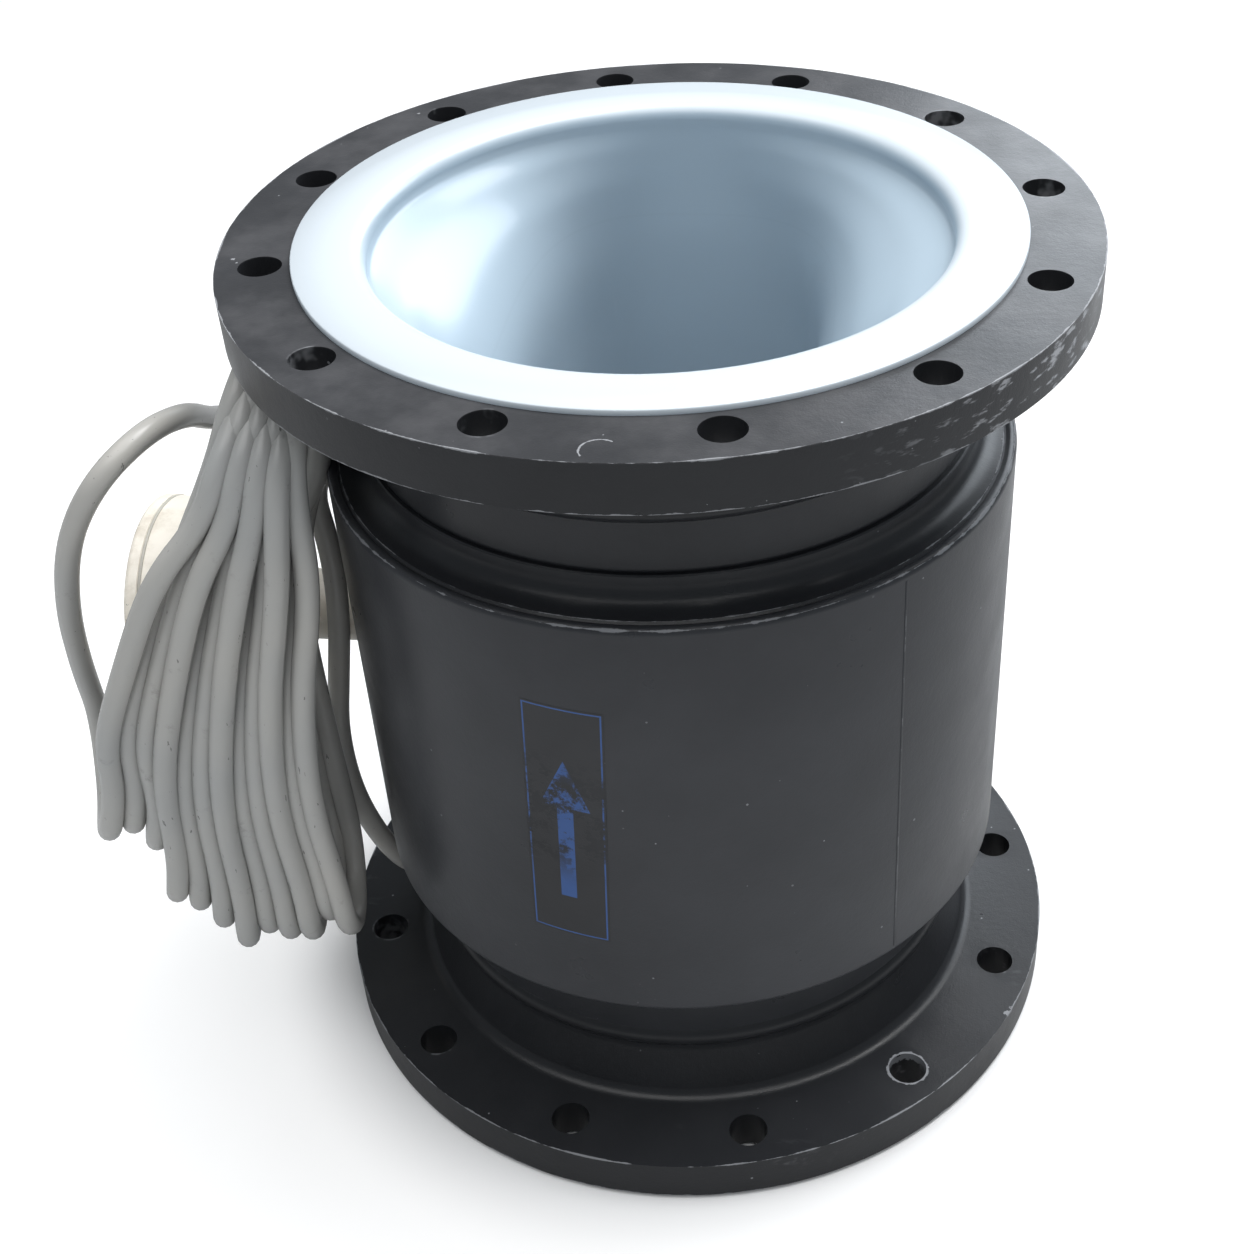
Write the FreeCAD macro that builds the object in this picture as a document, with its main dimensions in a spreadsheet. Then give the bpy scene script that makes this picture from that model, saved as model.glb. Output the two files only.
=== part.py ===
"""Remote electromagnetic flow sensor, DN 300 PN 10, standing on its lower flange.

Flow runs along Z.  The origin is the centre of the lower liner face.  +Z points up through the
upper flange, and the junction box stands out along -X.  Millimetres.
"""
import FreeCAD, Part
import math
import os
import re
import Sketcher
from FreeCAD import Placement, Rotation, Vector

# ---------------------------------------------------------------- driving sizes
SIZES = {
    # overall
    "face_to_face": 500,        # over the two liner faces
    "pipe_od": 323.9,           # DN 300 pipe, which every round size steps out from
    # flanges, EN 1092-1 type 11
    "flange_thick": 26,
    "bolt_step": 38.05,         # pipe surface to bolt circle
    "rim_step": 22.5,           # bolt circle to flange rim
    "bolt_hole": 22,
    "bolt_count": 12,
    "hub_step": 9.05,           # pipe surface to hub surface at the flange
    "hub_height": 68,           # liner face to the end of the hub
    "hub_land": 12,             # straight end of the hub
    "hub_root_radius": 8,
    "rim_chamfer": 1.2,
    "bead_height": 3,           # neck weld
    "bead_width": 12,
    # measuring duct and liner
    "neck_wall": 5.6,
    "duct_wall": 5,
    "liner_wall": 3,
    "lip_radius": 8,
    "face_step": 23.05,         # pipe surface to the rim of the raised face
    "throat_width": 150,        # clear between the pole sides, along X
    "throat_length": 282,       # clear between the electrode sides, along Y
    "throat_height": 220,       # length of the straight throat
    "throat_corner": 45,
    # housing
    "shell_step": 24.05,        # pipe surface to shell surface
    "shell_wall": 6,
    "shell_height": 232,
    "shell_edge_radius": 4,
    "ring_wall": 4,
    "collar_wall": 3,
    "collar_height": 16,
    "collar_radius": 11,
    "ring_bevel": 1,
    # field system
    "pole_plate": 6,
    "pole_length": 180,
    "pole_height": 120,
    "core_length": 110,
    "core_height": 60,
    "coil_window": 3,           # play between core and winding
    "coil_width": 32,
    "coil_depth": 36,
    "coil_corner": 14,
    "yoke_gap": 8,              # between yoke and shell
    "yoke_wall": 6,
    "yoke_height": 90,
    # electrodes
    "electrode_shaft": 8,
    "electrode_head": 20,
    "electrode_head_thick": 2.5,
    "bush_od": 16,
    "bush_flange": 26,
    "bush_flange_thick": 3,
    "washer_od": 16,
    "washer_thick": 1.6,
    "electrode_nut": 13,        # across flats
    "electrode_nut_thick": 6.5,
    # junction box, measured outwards from the meter's axis
    "neck_od": 42.4,
    "neck_tube_wall": 3.2,
    "box_back": 248,
    "box_rim": 304,
    "box_radius": 62,
    "box_wall": 4,
    "box_back_radius": 14,
    "boss_radius": 28,
    "socket_depth": 6,
    "gasket_thick": 1.5,
    "cover_radius": 63,
    "cover_thick": 8.5,
    "cover_edge_radius": 4,
    "cover_skirt": 10,
    "cover_plate": 4,
    "gland_out": 256,           # gland axes, from the meter's axis
    "gland_pitch": 36,
    "gland_boss_radius": 14,
    "gland_boss_rise": 4,       # above the drum's surface
    "gland_thread": 20,
    "gland_flats": 24,
    "gland_shank": 10,          # screwed into the boss
    "gland_hex": 6,
    "gland_reach": 22,          # boss to the end of the gland's thread
    "gland_socket": 8,          # boss to the floor that the seal stands on
    "gland_thread_wall": 1.2,
    "seal_height": 15,
    "nut_gap": 3,               # between the two hexagons
    "nut_hex": 9,
    "nut_dome": 4,              # first step of the nut's dome, and the second
    "nut_height": 19,
    "nut_play": 0.5,            # round the cable and over the seal
    "plug_hex": 5,
    "plug_crown": 1.5,
    "terminal_width": 56,
    "terminal_depth": 24,
    "terminal_height": 26,
    "terminal_count": 6,
    "terminal_pitch": 8.6,
    "terminal_rise": 2,         # clear of the neck's mouth
    "terminal_well": 6,
    "terminal_screw": 5.6,
    "screw_height": 4,
    "screw_slot": 0.8,
    "screw_slot_depth": 1.2,
    # cable
    "cable_od": 13,
    # fits
    "clearance": 0.3,
}

doc = FreeCAD.newDocument("FlowSensor")
sheet = doc.addObject("Spreadsheet::Sheet", "Sizes")
for row, (alias, number) in enumerate(SIZES.items(), start=1):
    sheet.set(f"A{row}", alias)
    sheet.set(f"B{row}", str(number))
    sheet.setAlias(f"B{row}", alias)
doc.recompute()

# ---------------------------------------------------------------- derived lengths, as expressions
PIPE_R = "(pipe_od / 2)"
BOLT_R = f"({PIPE_R} + bolt_step)"
RIM_R = f"({BOLT_R} + rim_step)"
HUB_R = f"({PIPE_R} + hub_step)"
BORE_R = f"({PIPE_R} - neck_wall)"
FACE_R = f"({PIPE_R} + face_step)"
SHELL_R = f"({PIPE_R} + shell_step)"
SHELL_IN = f"({SHELL_R} - shell_wall)"
MID_Z = "(face_to_face / 2)"
SHELL_LOW = f"({MID_Z} - shell_height / 2)"
NECK_IN = "(neck_od / 2 - neck_tube_wall)"
BOX_IN = "(box_radius - box_wall)"
COVER_BACK = "(box_rim + gasket_thick)"
POLE_X = "(throat_width / 2 + liner_wall + duct_wall)"
YOKE_R = f"({SHELL_IN} - yoke_gap)"
YOKE_IN = f"({YOKE_R} - yoke_wall)"
GLAND_BASE = f"({MID_Z} + box_radius + gland_boss_rise)"


def bound(expression):
    """An expression with every alias written as a cell of the sheet."""
    return re.sub(r"[a-z][a-z_]{2,}", lambda word: f"Sizes.{word[0]}" if word[0] in SIZES else word[0], expression)


def size(expression):
    """The expression's present value."""
    found = sheet.evalExpression(bound(str(expression)))
    return float(getattr(found, "Value", found))


def drive(thing, name, expression):
    thing.setExpression(name, bound(str(expression)))


# ---------------------------------------------------------------- helpers
def new_body(label):
    body = doc.addObject("PartDesign::Body", label)
    body.Label = label
    return body


def new_sketch(body, name, role, lift=None):
    """A sketch on one of the body's own origin planes, lifted along its normal."""
    sketch = body.newObject("Sketcher::SketchObject", f"{body.Label}_{name}")
    plane = [item for item in body.Origin.OriginFeatures if item.Role == role][0]
    sketch.AttachmentSupport = (plane, [""])
    sketch.MapMode = "FlatFace"
    if lift is not None:
        drive(sketch, "AttachmentOffset.Base.z", lift)
    return sketch


def pin_point(sketch, geometry, corner, across, up):
    """Holds a point at two driven distances from the sketch's origin."""
    for kind, expression in (("DistanceX", across), ("DistanceY", up)):
        index = sketch.addConstraint(
            Sketcher.Constraint(kind, -1, 1, geometry, corner, size(expression)))
        drive(sketch, f"Constraints[{index}]", expression)


def outline(sketch, corners):
    """A closed outline of straight sides through driven corners."""
    points = [Vector(size(across), size(up), 0) for across, up in corners]
    count = len(points)
    for index in range(count):
        sketch.addGeometry(Part.LineSegment(points[index], points[(index + 1) % count]))
    for index, (across, up) in enumerate(corners):
        sketch.addConstraint(Sketcher.Constraint("Coincident", index - 1 if index else count - 1, 2, index, 1))
        pin_point(sketch, index, 1, across, up)


def circle(sketch, radius, across="0", up="0"):
    index = sketch.addGeometry(
        Part.Circle(Vector(size(across), size(up), 0), Vector(0, 0, 1), size(radius)))
    held = sketch.addConstraint(Sketcher.Constraint("Radius", index, size(radius)))
    drive(sketch, f"Constraints[{held}]", radius)
    pin_point(sketch, index, 3, across, up)


def hexagon(sketch, flats, across="0", up="0"):
    """A hexagon of a given size across flats, with two flats parallel to the sketch's X axis."""
    reach = f"({flats}) / 2 / cos(30)"
    outline(sketch, [(f"({across}) + {reach} * cos({60 * turn})", f"({up}) + {reach} * sin({60 * turn})")
                     for turn in range(6)])


def revolve(body, name, corners, cut=False):
    """Turns an outline of (radius, height) corners about the body's Z axis."""
    sketch = new_sketch(body, name, "XZ_Plane")
    outline(sketch, corners)
    kind = "PartDesign::Groove" if cut else "PartDesign::Revolution"
    feature = body.newObject(kind, f"{body.Label}_{name}_turned")
    feature.Profile = sketch
    feature.ReferenceAxis = (sketch, ["V_Axis"])
    feature.Angle = 360
    doc.recompute()
    return feature


def pad(body, sketch, length, both=False):
    feature = body.newObject("PartDesign::Pad", f"{sketch.Name}_pad")
    feature.Profile = sketch
    feature.Midplane = both
    drive(feature, "Length", length)
    doc.recompute()
    return feature


def pocket(body, sketch, length, reverse=False, both=False):
    """A cut that must take something away."""
    before = body.Shape.Volume
    feature = body.newObject("PartDesign::Pocket", f"{sketch.Name}_cut")
    feature.Profile = sketch
    feature.Reversed = reverse
    feature.Midplane = both
    drive(feature, "Length", length)
    doc.recompute()
    if body.Shape.Volume > before - 1:
        raise RuntimeError(f"{feature.Name} cuts nothing")
    return feature


def ring_edges(body, radius, height):
    """Names of the full circles about Z at a radius and a height."""
    names = []
    for index, edge in enumerate(body.Shape.Edges, start=1):
        curve = edge.Curve
        if isinstance(curve, Part.Circle) and abs(curve.Radius - size(radius)) < 0.01:
            if abs(curve.Center.z - size(height)) < 0.01 and math.hypot(curve.Center.x, curve.Center.y) < 0.01:
                names.append(f"Edge{index}")
    if not names:
        raise RuntimeError(f"{body.Label} has no circle at {radius}, {height}")
    return names


def soften(body, rings, radius, kind="PartDesign::Fillet"):
    """Fillets or chamfers circles given as (radius, height)."""
    tip = body.Tip
    local = [name for spot in rings for name in ring_edges(body, *spot)]
    feature = body.newObject(kind, f"{body.Label}_{'round' if kind.endswith('Fillet') else 'bevel'}")
    feature.Base = (tip, local)
    drive(feature, "Radius" if kind.endswith("Fillet") else "Size", radius)
    doc.recompute()
    return feature


def polar(body, feature, sketch, count):
    pattern = body.newObject("PartDesign::PolarPattern", f"{feature.Name}_ring")
    pattern.Originals = [feature]
    pattern.Axis = (sketch, ["N_Axis"])
    pattern.Angle = 360
    drive(pattern, "Occurrences", count)
    body.Tip = pattern
    doc.recompute()
    return pattern


def put(thing, along="0", up="0", side="0", turn=None):
    """Places a sub-part: offsets along X, Y and Z, after an optional rotation."""
    if turn is not None:
        thing.Placement = Placement(Vector(), turn)
    for axis, expression in (("x", along), ("y", side), ("z", up)):
        drive(thing, f"Placement.Base.{axis}", expression)


OUTWARD = Rotation(Vector(0, 1, 0), -90)       # own Z points along -X, own X points up


# ---------------------------------------------------------------- pressure parts
def make_flange(label, turned_over):
    """Weld-neck flange with its neck weld, seated behind the liner's raised face."""
    body = new_body(label)
    face = "liner_wall"
    back = "(liner_wall + flange_thick)"
    toe = "(hub_height - hub_land)"
    crown = f"({PIPE_R} + bead_height)"
    revolve(body, "profile", [
        (BORE_R, face), (RIM_R, face), (RIM_R, back), (HUB_R, back), (PIPE_R, toe),
        (PIPE_R, "hub_height - bead_width / 2"), (crown, "hub_height - bead_width / 4"),
        (crown, "hub_height + bead_width / 4"), (PIPE_R, "hub_height + bead_width / 2"),
        (PIPE_R, "hub_height"), (BORE_R, "hub_height")])
    soften(body, [(HUB_R, back)], "hub_root_radius")
    soften(body, [(crown, "hub_height - bead_width / 4"), (crown, "hub_height + bead_width / 4")], "bead_height / 2")
    soften(body, [(RIM_R, face), (RIM_R, back)], "rim_chamfer", "PartDesign::Chamfer")
    holes = new_sketch(body, "hole", "XY_Plane")
    first = "180 / bolt_count"
    circle(holes, "bolt_hole / 2", f"{BOLT_R} * cos({first})", f"{BOLT_R} * sin({first})")
    drilled = pocket(body, holes, "liner_wall + flange_thick + 1", reverse=True)
    polar(body, drilled, holes, "bolt_count")
    if turned_over:
        put(body, up="face_to_face", turn=Rotation(Vector(1, 0, 0), 180))
    return body


def rounded(half_x, half_y, corner, height):
    """A level rectangle with round corners, near enough a circle where the corners meet."""
    corner = min(corner, half_x - 0.05, half_y - 0.05)
    across = half_x - corner
    along = half_y - corner
    reach = corner * math.sqrt(0.5)
    edges = []
    for side_x, side_y, first_runs_y in ((1, 1, True), (-1, 1, False), (-1, -1, True), (1, -1, False)):
        centre = Vector(side_x * across, side_y * along, height)
        on_x = Vector(side_x * half_x, side_y * along, height)
        on_y = Vector(side_x * across, side_y * half_y, height)
        start, end = (on_x, on_y) if first_runs_y else (on_y, on_x)
        before = Vector(on_x.x, -on_x.y, height) if first_runs_y else Vector(-on_y.x, on_y.y, height)
        edges.append(Part.LineSegment(before, start).toShape())
        edges.append(Part.Arc(start, centre + Vector(side_x * reach, side_y * reach, 0), end).toShape())
    return Part.Wire(edges)


def passage(grow, margin="0"):
    """The flow passage, round at the flanges and narrow at the poles, grown by a wall.

    The margin is taken off each end's straight length.
    """
    total = size("face_to_face")
    start = size("liner_wall + lip_radius + 1")
    narrow = (total - size("throat_height")) / 2
    bore = size(f"{BORE_R} - duct_wall - liner_wall")
    half_x = size("throat_width / 2")
    half_y = size("throat_length / 2")
    # share of the way to the throat, of the narrowing across, of it along, of the corners' tightening
    stations = [(0.0, 0.0, 0.0, 0.0), (0.10, 0.32, 0.10, 0.28), (0.27, 0.68, 0.32, 0.58),
                (0.55, 0.93, 0.72, 0.87), (1.0, 1.0, 1.0, 1.0)]
    tight = size("throat_corner")
    sections = [(size(margin), bore, bore, bore)]
    for way, across, along, closing in stations:
        sections.append((start + way * (narrow - start), bore + across * (half_x - bore),
                         bore + along * (half_y - bore), bore + closing * (tight - bore)))
    sections += [(total - height, wide, deep, corner) for height, wide, deep, corner in reversed(sections)]
    wires = [rounded(wide + grow, deep + grow, corner + grow, height) for height, wide, deep, corner in sections]
    last = len(stations)
    spans = [wires[:2], wires[1:last + 1], wires[last:last + 2], wires[last + 1:-1], wires[-2:]]
    pieces = [Part.makeLoft(span, True) for span in spans]
    return pieces[0].multiFuse(pieces[1:])


def rim_waste(inner, radius, rim, way):
    """What a quarter-round takes off the inner edge of a round end that faces against the way."""
    overlap = 0.3
    corner = Vector(inner - 1, 0, rim)
    toe = Vector(inner + radius, 0, rim)
    top = Vector(inner - overlap, 0, rim + way * radius)
    back = Vector(inner - 1, 0, rim + way * radius)
    share = 1 - math.sqrt(0.5)
    middle = Vector(inner - overlap + (radius + overlap) * share, 0, rim + way * radius * share)
    edges = [Part.LineSegment(corner, toe).toShape(), Part.Arc(toe, middle, top).toShape(),
             Part.LineSegment(top, back).toShape(), Part.LineSegment(back, corner).toShape()]
    return Part.Face(Part.Wire(edges)).revolve(Vector(), Vector(0, 0, 1), 360)


def electrode_bores(radius):
    reach = size(PIPE_R)
    return Part.makeCylinder(radius, 2 * reach, Vector(0, -reach, size(MID_Z)), Vector(0, 1, 0))


def only_solid(shape):
    """The one solid that a boolean left."""
    solids = shape.Solids
    if len(solids) != 1:
        raise RuntimeError(f"{len(solids)} solids where one is made")
    return solids[0]


def make_duct():
    """Formed measuring duct: round ends welded into the flange bores, narrow between the poles."""
    wall = size("duct_wall")
    liner = size("liner_wall")
    total = size("face_to_face")
    shape = passage(wall + liner, "liner_wall").cut(passage(liner))
    for rim, way in ((liner, 1), (total - liner, -1)):
        shape = shape.cut(rim_waste(size(f"{BORE_R} - duct_wall"), wall - 1, rim, way))
    return only_solid(shape.cut(electrode_bores(size("bush_od / 2"))))


def make_liner():
    """Moulded liner: raised faces, rounded lips and the wall of the flow passage."""
    wall = size("liner_wall")
    total = size("face_to_face")
    metal = size(f"{BORE_R} - duct_wall")
    shape = passage(wall)
    for base, rim, way in ((0, wall, 1), (total - wall, total - wall, -1)):
        shape = shape.fuse(Part.makeCylinder(size(FACE_R), wall, Vector(0, 0, base)))
        shape = shape.fuse(rim_waste(metal, size("duct_wall") - 1, rim, way))
    shape = shape.cut(passage(0))
    for rim, way in ((0, 1), (total, -1)):
        shape = shape.cut(rim_waste(metal - wall, size("lip_radius"), rim, way))
    return only_solid(shape.cut(electrode_bores(size("electrode_shaft / 2"))))


def shaped(label, shape):
    thing = doc.addObject("Part::Feature", label)
    thing.Label = label
    thing.Shape = shape
    return thing


def make_neck_pipe(label, turned_over):
    """Pipe from the hub into the housing."""
    body = new_body(label)
    top = f"({SHELL_LOW} + ring_wall + collar_height)"
    revolve(body, "wall", [(BORE_R, "hub_height"), (PIPE_R, "hub_height"), (PIPE_R, top), (BORE_R, top)])
    if turned_over:
        put(body, up="face_to_face", turn=Rotation(Vector(1, 0, 0), 180))
    return body


# ---------------------------------------------------------------- housing
def make_shell():
    """Rolled housing shell with the hole that the box neck is welded into."""
    body = new_body("housing_shell")
    top = f"({SHELL_LOW} + shell_height)"
    revolve(body, "wall", [
        (SHELL_IN, f"{SHELL_LOW} + ring_bevel"), (f"{SHELL_IN} + ring_bevel", SHELL_LOW), (SHELL_R, SHELL_LOW),
        (SHELL_R, top), (f"{SHELL_IN} + ring_bevel", top), (SHELL_IN, f"{top} - ring_bevel")])
    soften(body, [(SHELL_R, SHELL_LOW), (SHELL_R, top)], "shell_edge_radius")
    hole = new_sketch(body, "neck_hole", "YZ_Plane")
    circle(hole, "neck_od / 2", "0", MID_Z)
    pocket(body, hole, f"{SHELL_R} + 1")
    return body


def make_end_ring(label, turned_over):
    """Pressed ring that closes the housing and hugs the neck pipe with its collar."""
    body = new_body(label)
    skin = SHELL_LOW
    inside = f"({SHELL_LOW} + ring_wall)"
    collar = f"({PIPE_R} + collar_wall)"
    lip = f"({SHELL_LOW} - collar_height)"
    revolve(body, "profile", [
        (PIPE_R, inside), (SHELL_IN, inside), (SHELL_IN, f"{skin} + ring_bevel"),
        (f"{SHELL_IN} - ring_bevel", skin), (collar, skin), (collar, lip), (PIPE_R, lip)])
    soften(body, [(collar, skin)], "collar_radius")
    if turned_over:
        put(body, up="face_to_face", turn=Rotation(Vector(1, 0, 0), 180))
    return body


# ---------------------------------------------------------------- field system
def make_pole(label, away):
    """Pole plate on the duct with the core that runs out to the yoke."""
    body = new_body(label)
    plate = new_sketch(body, "plate", "YZ_Plane", POLE_X)
    outline(plate, [(f"{side_y} * pole_length / 2", f"{MID_Z} + {side_z} * pole_height / 2")
                    for side_y, side_z in ((-1, -1), (1, -1), (1, 1), (-1, 1))])
    pad(body, plate, "pole_plate")
    core = new_sketch(body, "core", "YZ_Plane", f"{POLE_X} + pole_plate")
    outline(core, [(f"{side_y} * core_length / 2", f"{MID_Z} + {side_z} * core_height / 2")
                   for side_y, side_z in ((-1, -1), (1, -1), (1, 1), (-1, 1))])
    reach = f"sqrt({YOKE_IN} ^ 2 - core_length ^ 2 / 4)"
    pad(body, core, f"{reach} - {POLE_X} - pole_plate")
    if away:
        body.Placement = Placement(Vector(), Rotation(Vector(0, 0, 1), 180))
    return body


def make_coil(label, away):
    """Field winding round the core, rounded at its corners."""
    body = new_body(label)
    start = f"({POLE_X} + pole_plate + clearance)"
    ring = new_sketch(body, "outside", "YZ_Plane", start)
    half_y = "(core_length / 2 + coil_window + coil_width)"
    half_z = "(core_height / 2 + coil_window + coil_width)"
    outline(ring, [(f"{side_y} * {half_y}", f"{MID_Z} + {side_z} * {half_z}")
                   for side_y, side_z in ((-1, -1), (1, -1), (1, 1), (-1, 1))])
    pad(body, ring, "coil_depth")
    hole = new_sketch(body, "window", "YZ_Plane", start)
    outline(hole, [(f"{side_y} * (core_length / 2 + coil_window)", f"{MID_Z} + {side_z} * (core_height / 2 + coil_window)")
                   for side_y, side_z in ((-1, -1), (1, -1), (1, 1), (-1, 1))])
    pocket(body, hole, "coil_depth + 1", reverse=True)
    corners = []
    for index, edge in enumerate(body.Shape.Edges, start=1):
        middle = edge.CenterOfMass
        runs_out = abs(edge.Vertexes[0].X - edge.Vertexes[1].X) > 1
        if runs_out and abs(abs(middle.y) - size(half_y)) < 0.01:
            corners.append(f"Edge{index}")
    wound = body.Tip
    rounding = body.newObject("PartDesign::Fillet", f"{label}_corners")
    rounding.Base = (wound, corners)
    drive(rounding, "Radius", "coil_corner")
    doc.recompute()
    if away:
        body.Placement = Placement(Vector(), Rotation(Vector(0, 0, 1), 180))
    return body


def make_yoke():
    """Band that carries the field from one pole to the other round the duct."""
    body = new_body("return_yoke")
    low = f"({MID_Z} - yoke_height / 2)"
    high = f"({MID_Z} + yoke_height / 2)"
    revolve(body, "band", [(YOKE_IN, low), (YOKE_R, low), (YOKE_R, high), (YOKE_IN, high)])
    hole = new_sketch(body, "lead_hole", "YZ_Plane")
    circle(hole, NECK_IN, "0", MID_Z)
    pocket(body, hole, f"{SHELL_R}")
    return body


# ---------------------------------------------------------------- electrodes
WET_Y = "(throat_length / 2)"
DUCT_Y = f"({WET_Y} + liner_wall + duct_wall)"
NUT_Y = f"({DUCT_Y} + bush_flange_thick + washer_thick)"


def face_out(body, to_back):
    """Stands a piece that was turned about Z along +Y or -Y at mid height."""
    put(body, up=MID_Z, turn=Rotation(Vector(1, 0, 0), -90 if to_back else 90))
    return body


def make_electrode(side, to_back):
    body = new_body(f"electrode_{side}")
    head = "(electrode_head / 2)"
    shaft = "(electrode_shaft / 2)"
    revolve(body, "profile", [
        ("0", f"{WET_Y} - electrode_head_thick"), (f"{head} - 1.5", f"{WET_Y} - electrode_head_thick"),
        (head, f"{WET_Y} - 0.8"), (head, WET_Y), (shaft, WET_Y),
        (shaft, f"{NUT_Y} + electrode_nut_thick + 3"), ("0", f"{NUT_Y} + electrode_nut_thick + 3")])
    return face_out(body, to_back)


def make_bush(side, to_back):
    """Insulating bush through the duct wall."""
    body = new_body(f"electrode_bush_{side}")
    shaft = "(electrode_shaft / 2)"
    inner = f"({WET_Y} + liner_wall)"
    revolve(body, "profile", [
        (shaft, inner), ("bush_od / 2", inner), ("bush_od / 2", DUCT_Y), ("bush_flange / 2", DUCT_Y),
        ("bush_flange / 2", f"{DUCT_Y} + bush_flange_thick"), (shaft, f"{DUCT_Y} + bush_flange_thick")])
    return face_out(body, to_back)


def make_washer(side, to_back):
    body = new_body(f"electrode_washer_{side}")
    low = f"({DUCT_Y} + bush_flange_thick)"
    revolve(body, "profile", [
        ("electrode_shaft / 2", low), ("washer_od / 2", low), ("washer_od / 2", NUT_Y), ("electrode_shaft / 2", NUT_Y)])
    return face_out(body, to_back)


def make_electrode_nut(side, to_back):
    body = new_body(f"electrode_nut_{side}")
    blank = new_sketch(body, "hexagon", "XY_Plane", NUT_Y)
    hexagon(blank, "electrode_nut")
    pad(body, blank, "electrode_nut_thick")
    hole = new_sketch(body, "hole", "XY_Plane", NUT_Y)
    circle(hole, "electrode_shaft / 2")
    pocket(body, hole, "electrode_nut_thick + 1", reverse=True)
    return face_out(body, to_back)


# ---------------------------------------------------------------- junction box
def outward(body):
    put(body, up=MID_Z, turn=OUTWARD)
    return body


def make_box_neck():
    body = new_body("box_neck")
    start = f"({SHELL_IN} - ring_wall)"
    end = "(box_back + socket_depth)"
    revolve(body, "wall", [(NECK_IN, start), ("neck_od / 2", start), ("neck_od / 2", end), (NECK_IN, end)])
    return outward(body)


def make_box_body():
    """Cast drum with a neck socket behind and two gland bosses on top."""
    body = new_body("junction_box_body")
    floor = "(box_back + socket_depth + box_wall)"
    revolve(body, "drum", [
        ("neck_od / 2", "box_back - box_wall"), ("boss_radius", "box_back - box_wall"), ("boss_radius", "box_back"),
        ("box_radius", "box_back"), ("box_radius", "box_rim"), (BOX_IN, "box_rim"), (BOX_IN, floor),
        (NECK_IN, floor), (NECK_IN, "box_back + socket_depth"), ("neck_od / 2", "box_back + socket_depth")])
    soften(body, [("box_radius", "box_back")], "box_back_radius")
    for name, way in (("plug", "-1"), ("gland", "1")):
        boss = new_sketch(body, f"{name}_boss", "YZ_Plane", f"{BOX_IN} - box_wall")
        circle(boss, "gland_boss_radius", f"{way} * gland_pitch / 2", "gland_out")
        pad(body, boss, "2 * box_wall + gland_boss_rise")
    for name, way in (("plug", "-1"), ("gland", "1")):
        hole = new_sketch(body, f"{name}_hole", "YZ_Plane", f"{BOX_IN} / 2")
        circle(hole, "gland_thread / 2", f"{way} * gland_pitch / 2", "gland_out")
        pocket(body, hole, "box_radius", reverse=True)
    return outward(body)


def make_cover():
    """Screw cover with its threaded skirt and a grip bar across the face."""
    body = new_body("junction_box_cover")
    skirt = f"({BOX_IN} - clearance)"
    face = f"({COVER_BACK} + cover_thick)"
    inner = f"({BOX_IN} - clearance - cover_plate)"
    revolve(body, "profile", [
        ("0", f"{face} - cover_plate"), (inner, f"{face} - cover_plate"), (inner, f"{COVER_BACK} - cover_skirt"),
        (skirt, f"{COVER_BACK} - cover_skirt"), (skirt, COVER_BACK), ("cover_radius", COVER_BACK),
        ("cover_radius", face), ("0", face)])
    soften(body, [("cover_radius", face)], "cover_edge_radius")
    return outward(body)


def make_gasket():
    body = new_body("cover_gasket")
    inner = f"({BOX_IN})"
    revolve(body, "profile", [
        (inner, "box_rim"), ("box_radius", "box_rim"), ("box_radius", COVER_BACK), (inner, COVER_BACK)])
    return outward(body)


def make_terminal_block():
    """Terminal block on the drum's floor, with a well over each screw."""
    body = new_body("terminal_block")
    base = "(box_back + socket_depth + box_wall)"
    block = new_sketch(body, "block", "XY_Plane", base)
    lift = "(neck_od / 2 + terminal_rise)"
    outline(block, [(f"-{lift} - terminal_height", "-terminal_width / 2"), (f"-{lift}", "-terminal_width / 2"),
                    (f"-{lift}", "terminal_width / 2"), (f"-{lift} - terminal_height", "terminal_width / 2")])
    pad(body, block, "terminal_depth")
    well = new_sketch(body, "well", "XY_Plane", f"{base} + terminal_depth")
    circle(well, "terminal_screw / 2 + clearance", f"-{lift} - terminal_height / 2",
           "(terminal_count - 1) / 2 * -terminal_pitch")
    cut = pocket(body, well, "terminal_well")
    row = body.newObject("PartDesign::LinearPattern", "terminal_wells")
    row.Originals = [cut]
    row.Direction = (well, ["V_Axis"])
    drive(row, "Length", "(terminal_count - 1) * terminal_pitch")
    drive(row, "Occurrences", "terminal_count")
    body.Tip = row
    doc.recompute()
    return outward(body)


def make_terminal_screws():
    """The clamp screws, one group of separate solids."""
    lift = size("neck_od / 2 + terminal_rise + terminal_height / 2")
    base = size("box_back + socket_depth + box_wall + terminal_depth - terminal_well")
    pitch = size("terminal_pitch")
    count = int(size("terminal_count"))
    radius = size("terminal_screw / 2")
    height = size("screw_height")
    wide = size("screw_slot")
    deep = size("screw_slot_depth")
    screws = []
    for index in range(count):
        across = (index - (count - 1) / 2) * pitch
        screw = Part.makeCylinder(radius, height, Vector(-lift, across, base))
        slot = Part.makeBox(2 * radius, wide, deep, Vector(-lift - radius, across - wide / 2, base + height - deep))
        screws.append(screw.cut(slot))
    thing = shaped("terminal_screws", Part.makeCompound(screws))
    thing.Placement = Placement(Vector(0, 0, size(MID_Z)), OUTWARD)
    return thing


# ---------------------------------------------------------------- glands
CABLE_R = "(cable_od / 2)"
THREAD_R = "(gland_thread / 2)"


def stand(body, way):
    """Stands a piece turned about Z on one of the two gland bosses."""
    put(body, along="-gland_out", side=f"{way} * gland_pitch / 2", up=GLAND_BASE)
    return body


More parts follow.
